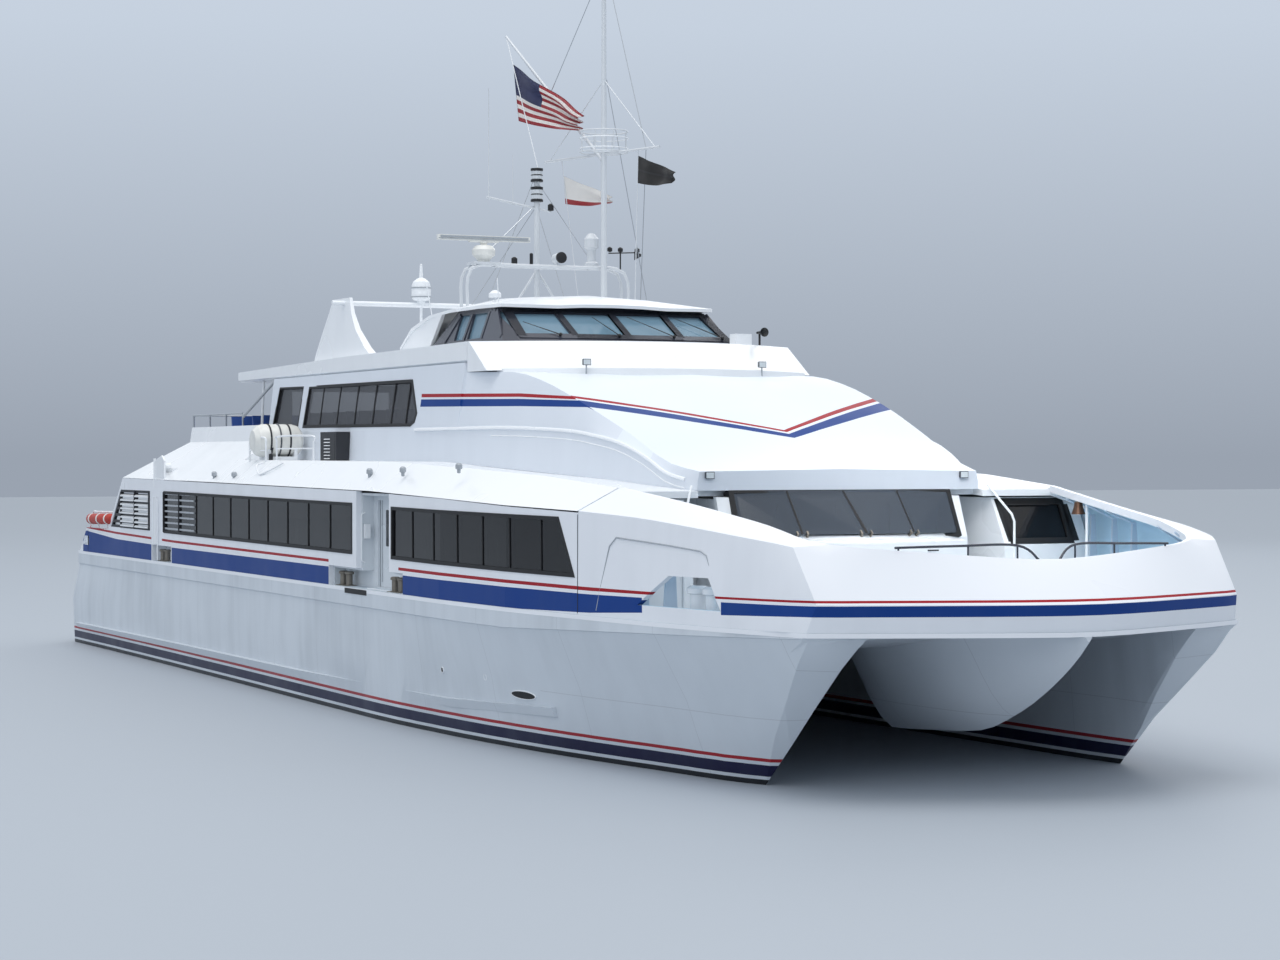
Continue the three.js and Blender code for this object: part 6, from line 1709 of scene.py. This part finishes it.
# %% Boarding recess, slot and seams
recess_parts = Shape()
recess_parts.box((6.0, 6.14), (5.38, 5.6), (3.72, 4.1))
recess_parts.box((4.27, 4.36), (5.5, 5.62), (3.7, 4.0))
for x in (4.3, 6.1):
    recess_parts.tube([(x, 5.6, 3.2), (x, 5.68, 3.24), (x, 5.68, 4.2), (x, 5.6, 4.24)], 0.016)
recess_parts.both_sides()
recess_parts.piece("boarding_recess_fittings", white_enamel, "house_paint")

seams_and_shade_slot = Shape()
# Painted shade: a black strip stands for the slot's shaded inside.
seams_and_shade_slot.box((3.6, 4.95), (5.795, 5.812), (2.54, 2.645))
# Columns: x, foot, head of each seam.
for x, low, high in ((14.62, 2.68, 4.4), (-19.3, 2.68, 3.3)):
    y = lookup(SIDE_TABLE, x)
    seams_and_shade_slot.box((x - 0.008, x + 0.008), (y - 0.02, y + 0.004), (low, high))
seams_and_shade_slot.both_sides()
seams_and_shade_slot.piece("side_seams_and_slot", seal_rubber_and_shade, "louvre_metal")
print("side fittings done")

# %% [markdown]
# Low on each hull open the sea-water outlets: one long oval and two small round ones. Each is a black
# disc of painted shade for the opening's shaded inside, with a thin welded lip, laid on the plating at
# its own slope.


# %% Hull outlets
def outlet(dark, lip, centre, normal, half_length, half_height, thick=0.02):
    """An oval opening on sloping plating."""
    normal = Vector(normal).normalized()
    along = Vector((0, 0, 1)).cross(normal).normalized()
    up = normal.cross(along)
    turns = [2 * math.pi * k / 28 for k in range(28)]

    def ring(grow, out):
        return [
            Vector(centre)
            + normal * out
            + along * math.cos(t) * (half_length + grow)
            + up * math.sin(t) * (half_height + grow)
            for t in turns
        ]

    # Painted shade: a black disc stands for the shaded inside of the opening.
    dark.rings([ring(0, -0.03), ring(0, thick * 0.5)])
    lip.rings([ring(0, -0.03), ring(0, thick), ring(0.012, thick), ring(0.02, -0.03)], loop=True)


outlet_shade_discs, outlet_lips = Shape(), Shape()
# Columns: centre, way out, half length, half height.
OUTLETS = [
    ((11.97, -5.23, 1.04), (0.14, -0.97, -0.22), 0.42, 0.07),
    ((8.78, -5.59, 1.28), (0.04, -1, -0.08), 0.05, 0.05),
    ((10.58, -5.42, 1.27), (0.1, -0.98, -0.15), 0.05, 0.05),
]
for row in OUTLETS:
    outlet(outlet_shade_discs, outlet_lips, *row)
outlet_shade_discs.both_sides()
outlet_lips.both_sides()
outlet_shade_discs.piece("hull_outlets", seal_rubber_and_shade, "hull_paint")
outlet_lips.piece("hull_outlet_lips", white_enamel, "hull_paint")
print("outlets", len(OUTLETS) * 2)

# %% [markdown]
# On the foredeck a locker runs under the front windows. Its top slopes a little and its front is
# upright, so it is a skin over 13 sections. It has three handles, and the panes over it have wipers.

# %% Foredeck locker
LOCKER_TOP, LOCKER_HALF = 3.9, 2.3
# Columns: distance from the wall, height.
LOCKER_SECTION = [(-0.02, 3.9), (0.3, 3.86), (0.3, 2.9), (0.0, 2.9)]
HANDLE_NEAR, HANDLE_FAR, HANDLE_Z = 0.31, 0.35, 3.7
ledge = Shape()
rows = []
for k in range(13):
    y = -LOCKER_HALF + 2 * LOCKER_HALF * k / 12
    wall = Vector(front_place(y, LOCKER_TOP))
    rows.append([(wall.x + out, y, z) for out, z in LOCKER_SECTION])
ledge.rings(rows)
ledge.piece("foredeck_locker", white_enamel, "house_paint")

handles = Shape()
for y in (-1.2, 0.1, 1.4):
    wall = Vector(front_place(y, LOCKER_TOP))
    near, far = wall.x + HANDLE_NEAR, wall.x + HANDLE_FAR
    grip = [(near, y - 0.12), (far, y - 0.1), (far, y + 0.1), (near, y + 0.12)]
    handles.tube([(*place, HANDLE_Z) for place in grip], 0.014)
for y in (-1.72, -0.57, 0.57, 1.72):
    foot, end = front_face(y, 4.0, 0.05), front_face(y + 0.3, 4.5, 0.05)
    handles.tube([foot, foot.lerp(end, 0.6)], 0.01, sides=6)
    handles.tube([foot.lerp(end, 0.4), end], 0.008, sides=6)
handles.piece("locker_handles_and_wipers", black_plastic, "louvre_metal")
print("locker of", len(rows), "sections")

# %% [markdown]
# Drain pipes drop from the hood's corners, and a bell of dull bronze hangs by the bulwark.

# %% Drain pipes and bell
DRAIN = [(14.58, 3.1, 4.88), (14.93, 3.41, 4.33), (14.97, 3.44, 4.2), (14.97, 3.44, 2.66)]
# Columns: radius and height, of a bell 0.17 m high.
BELL = [(0.02, 0.17), (0.045, 0.16), (0.055, 0.09), (0.075, 0.02), (0.082, 0), (0.07, 0), (0.045, 0.09)]
BELL += [(0.02, 0.13)]
BELL_X, BELL_Y, BELL_FOOT = 15.86, 4.26, 4.34
WIDER, TALLER = 1.6, 1.4  # the ship's own bell against that one
pipes = Shape()
pipes.tube(DRAIN, 0.024)
pipes.both_sides()
pipes.piece("hood_drain_pipes", white_enamel, "house_paint")

bell = Shape()
bell_profile = [(radius * WIDER, height * TALLER) for radius, height in BELL]
bell.turned(bell_profile, (BELL_X, BELL_Y, BELL_FOOT), sides=24)
bell.tube([(BELL_X, BELL_Y, 4.56), (BELL_X, BELL_Y, 4.64)], 0.014)
bell.piece("ships_bell", dull_bronze, "rail_metal")
print("bell", round(0.17 * TALLER, 2), "m high")

# %% [markdown]
# Inside the bulwark the plating is stiffened by upright ribs that taper upwards, each with a strut to
# the cap, and a white pillar stands on each side.

# %% Ribs and pillars
# Columns: x, y of the plating, height.
RIBS = [(15.4, 5.08, 4.32), (16.2, 5.0, 4.28), (17.0, 4.86, 4.22), (18.95, 4.42, 3.96), (19.6, 4.2, 3.85)]
RIB_HALF = 0.02


def rib_section(x, outer, inner, z):
    near, far = x - RIB_HALF, x + RIB_HALF
    return [(near, outer, z), (far, outer, z), (far, inner, z), (near, inner, z)]


ribs = Shape()
for x, y, high in RIBS:
    ribs.rings([rib_section(x, y - 0.02, y - 0.3, MAIN_DECK), rib_section(x, y - 0.14, y - 0.22, high)])
    ahead = x - 15.4
    ribs.tube([(x, y - 0.16, high - 0.04), (x + 0.02, 4.31 - 0.16 * ahead, 4.62 - 0.12 * ahead)], 0.02)
ribs.both_sides()
ribs.piece("bulwark_ribs", pale_blue_enamel, "hull_paint")

pillar = Shape()
pillar.tube([(16.1, 4.28, 2.64), (16.1, 4.28, 4.62)], 0.028)
pillar.both_sides()
pillar.piece("bulwark_pillars", white_enamel, "rail_metal")
print("ribs", len(RIBS) * 2)

# %% [markdown]
# The bulwark has a gate on each side. Shut, it shows only as a thin seam that runs round it on the
# outside.

# %% Bulwark gate seam
# Columns: x, z.
GATE_SEAM = [(15.25, 2.76), (15.37, 3.11), (15.67, 3.88), (15.88, 4.03), (16.64, 3.99), (17.42, 3.94)]
GATE_SEAM += [(18.27, 3.87), (18.42, 3.8), (18.5, 3.62)]
# Columns: x, half width of the bulwark.
BULWARK_TABLE = [(14.66, 5.335), (16.48, 5.09), (17.96, 4.845), (19.24, 4.54)]
seam = Shape()
seam.tube([(x, lookup(BULWARK_TABLE, x) + 0.002, z) for x, z in GATE_SEAM], 0.013, sides=6)
seam.both_sides()
seam.piece("bulwark_gate_seam", grey_enamel, "rail_metal")
print("seam of", len(GATE_SEAM), "points")

# %% [markdown]
# Doors move, so what is on them moves too. Each sliding leaf gets its window, two stiffeners and a
# flat pull, and each hinged one its window. All of it rides on the leaf's own body.

# %% Side and foredeck doors
LEAF_FACE, PANE_FACE = 5.325, 5.326
PULL_OUT = 5.336  # what stands on a sliding leaf stays clear of the wall it slides behind
for side_name, side in SIDES.items():
    body = f"boarding_door_{side_name}"
    thick = (side * LEAF_FACE, side * PULL_OUT)
    leaf = Shape()
    for x in (4.62, 5.78):
        leaf.box((x - 0.02, x + 0.02), thick, (2.8, 4.5))
    leaf.box((5.82, 5.87), thick, (3.3, 3.78))
    leaf.piece(f"boarding_door_stiffeners_{side_name}", grey_enamel, "recess_paint", body=body)
    pane = Shape().box((4.85, 5.55), (side * PANE_FACE, side * PULL_OUT), (3.55, 4.3))
    pane.piece(f"boarding_door_window_{side_name}", cabin_glass, "tinted_glass", body=body)
    body = f"foredeck_door_{side_name}"
    low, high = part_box(body)
    front = high[0] / MODEL
    middle = (low[1] + high[1]) / 2 / MODEL
    pane = Shape().box((front - 0.004, front + 0.008), (middle - 0.17, middle + 0.17), (3.75, 4.3))
    pane.piece(f"foredeck_door_window_{side_name}", cabin_glass, "tinted_glass", body=body)
print("side and foredeck doors fitted")

# %% [markdown]
# The two after doors open on the centre line. Each has a window and a bent lever.

# %% After doors
# Columns: name, half width of the window, height of its sill.
AFTER_DOORS = [("cabin_after_door", 0.3, 3.7), ("upper_after_door", 0.28, 6.2)]
PANE_HEIGHT = 0.7
for name, half, sill in AFTER_DOORS:
    low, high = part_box(name)
    back = low[0] / MODEL
    middle = (low[1] + high[1]) / 2 / MODEL
    heights = (sill, sill + PANE_HEIGHT)
    pane = Shape().box((back - 0.008, back + 0.004), (middle - half, middle + half), heights)
    pane.piece(f"{name}_window", cabin_glass, "tinted_glass", body=name)
    z = sill - 0.3
    grip = [(back, middle + 0.38, z), (back - 0.06, middle + 0.38, z), (back - 0.06, middle + 0.25, z)]
    lever = Shape().tube(grip, 0.014)
    lever.piece(f"{name}_lever", stainless, "rail_metal", body=name)
print("after doors fitted")
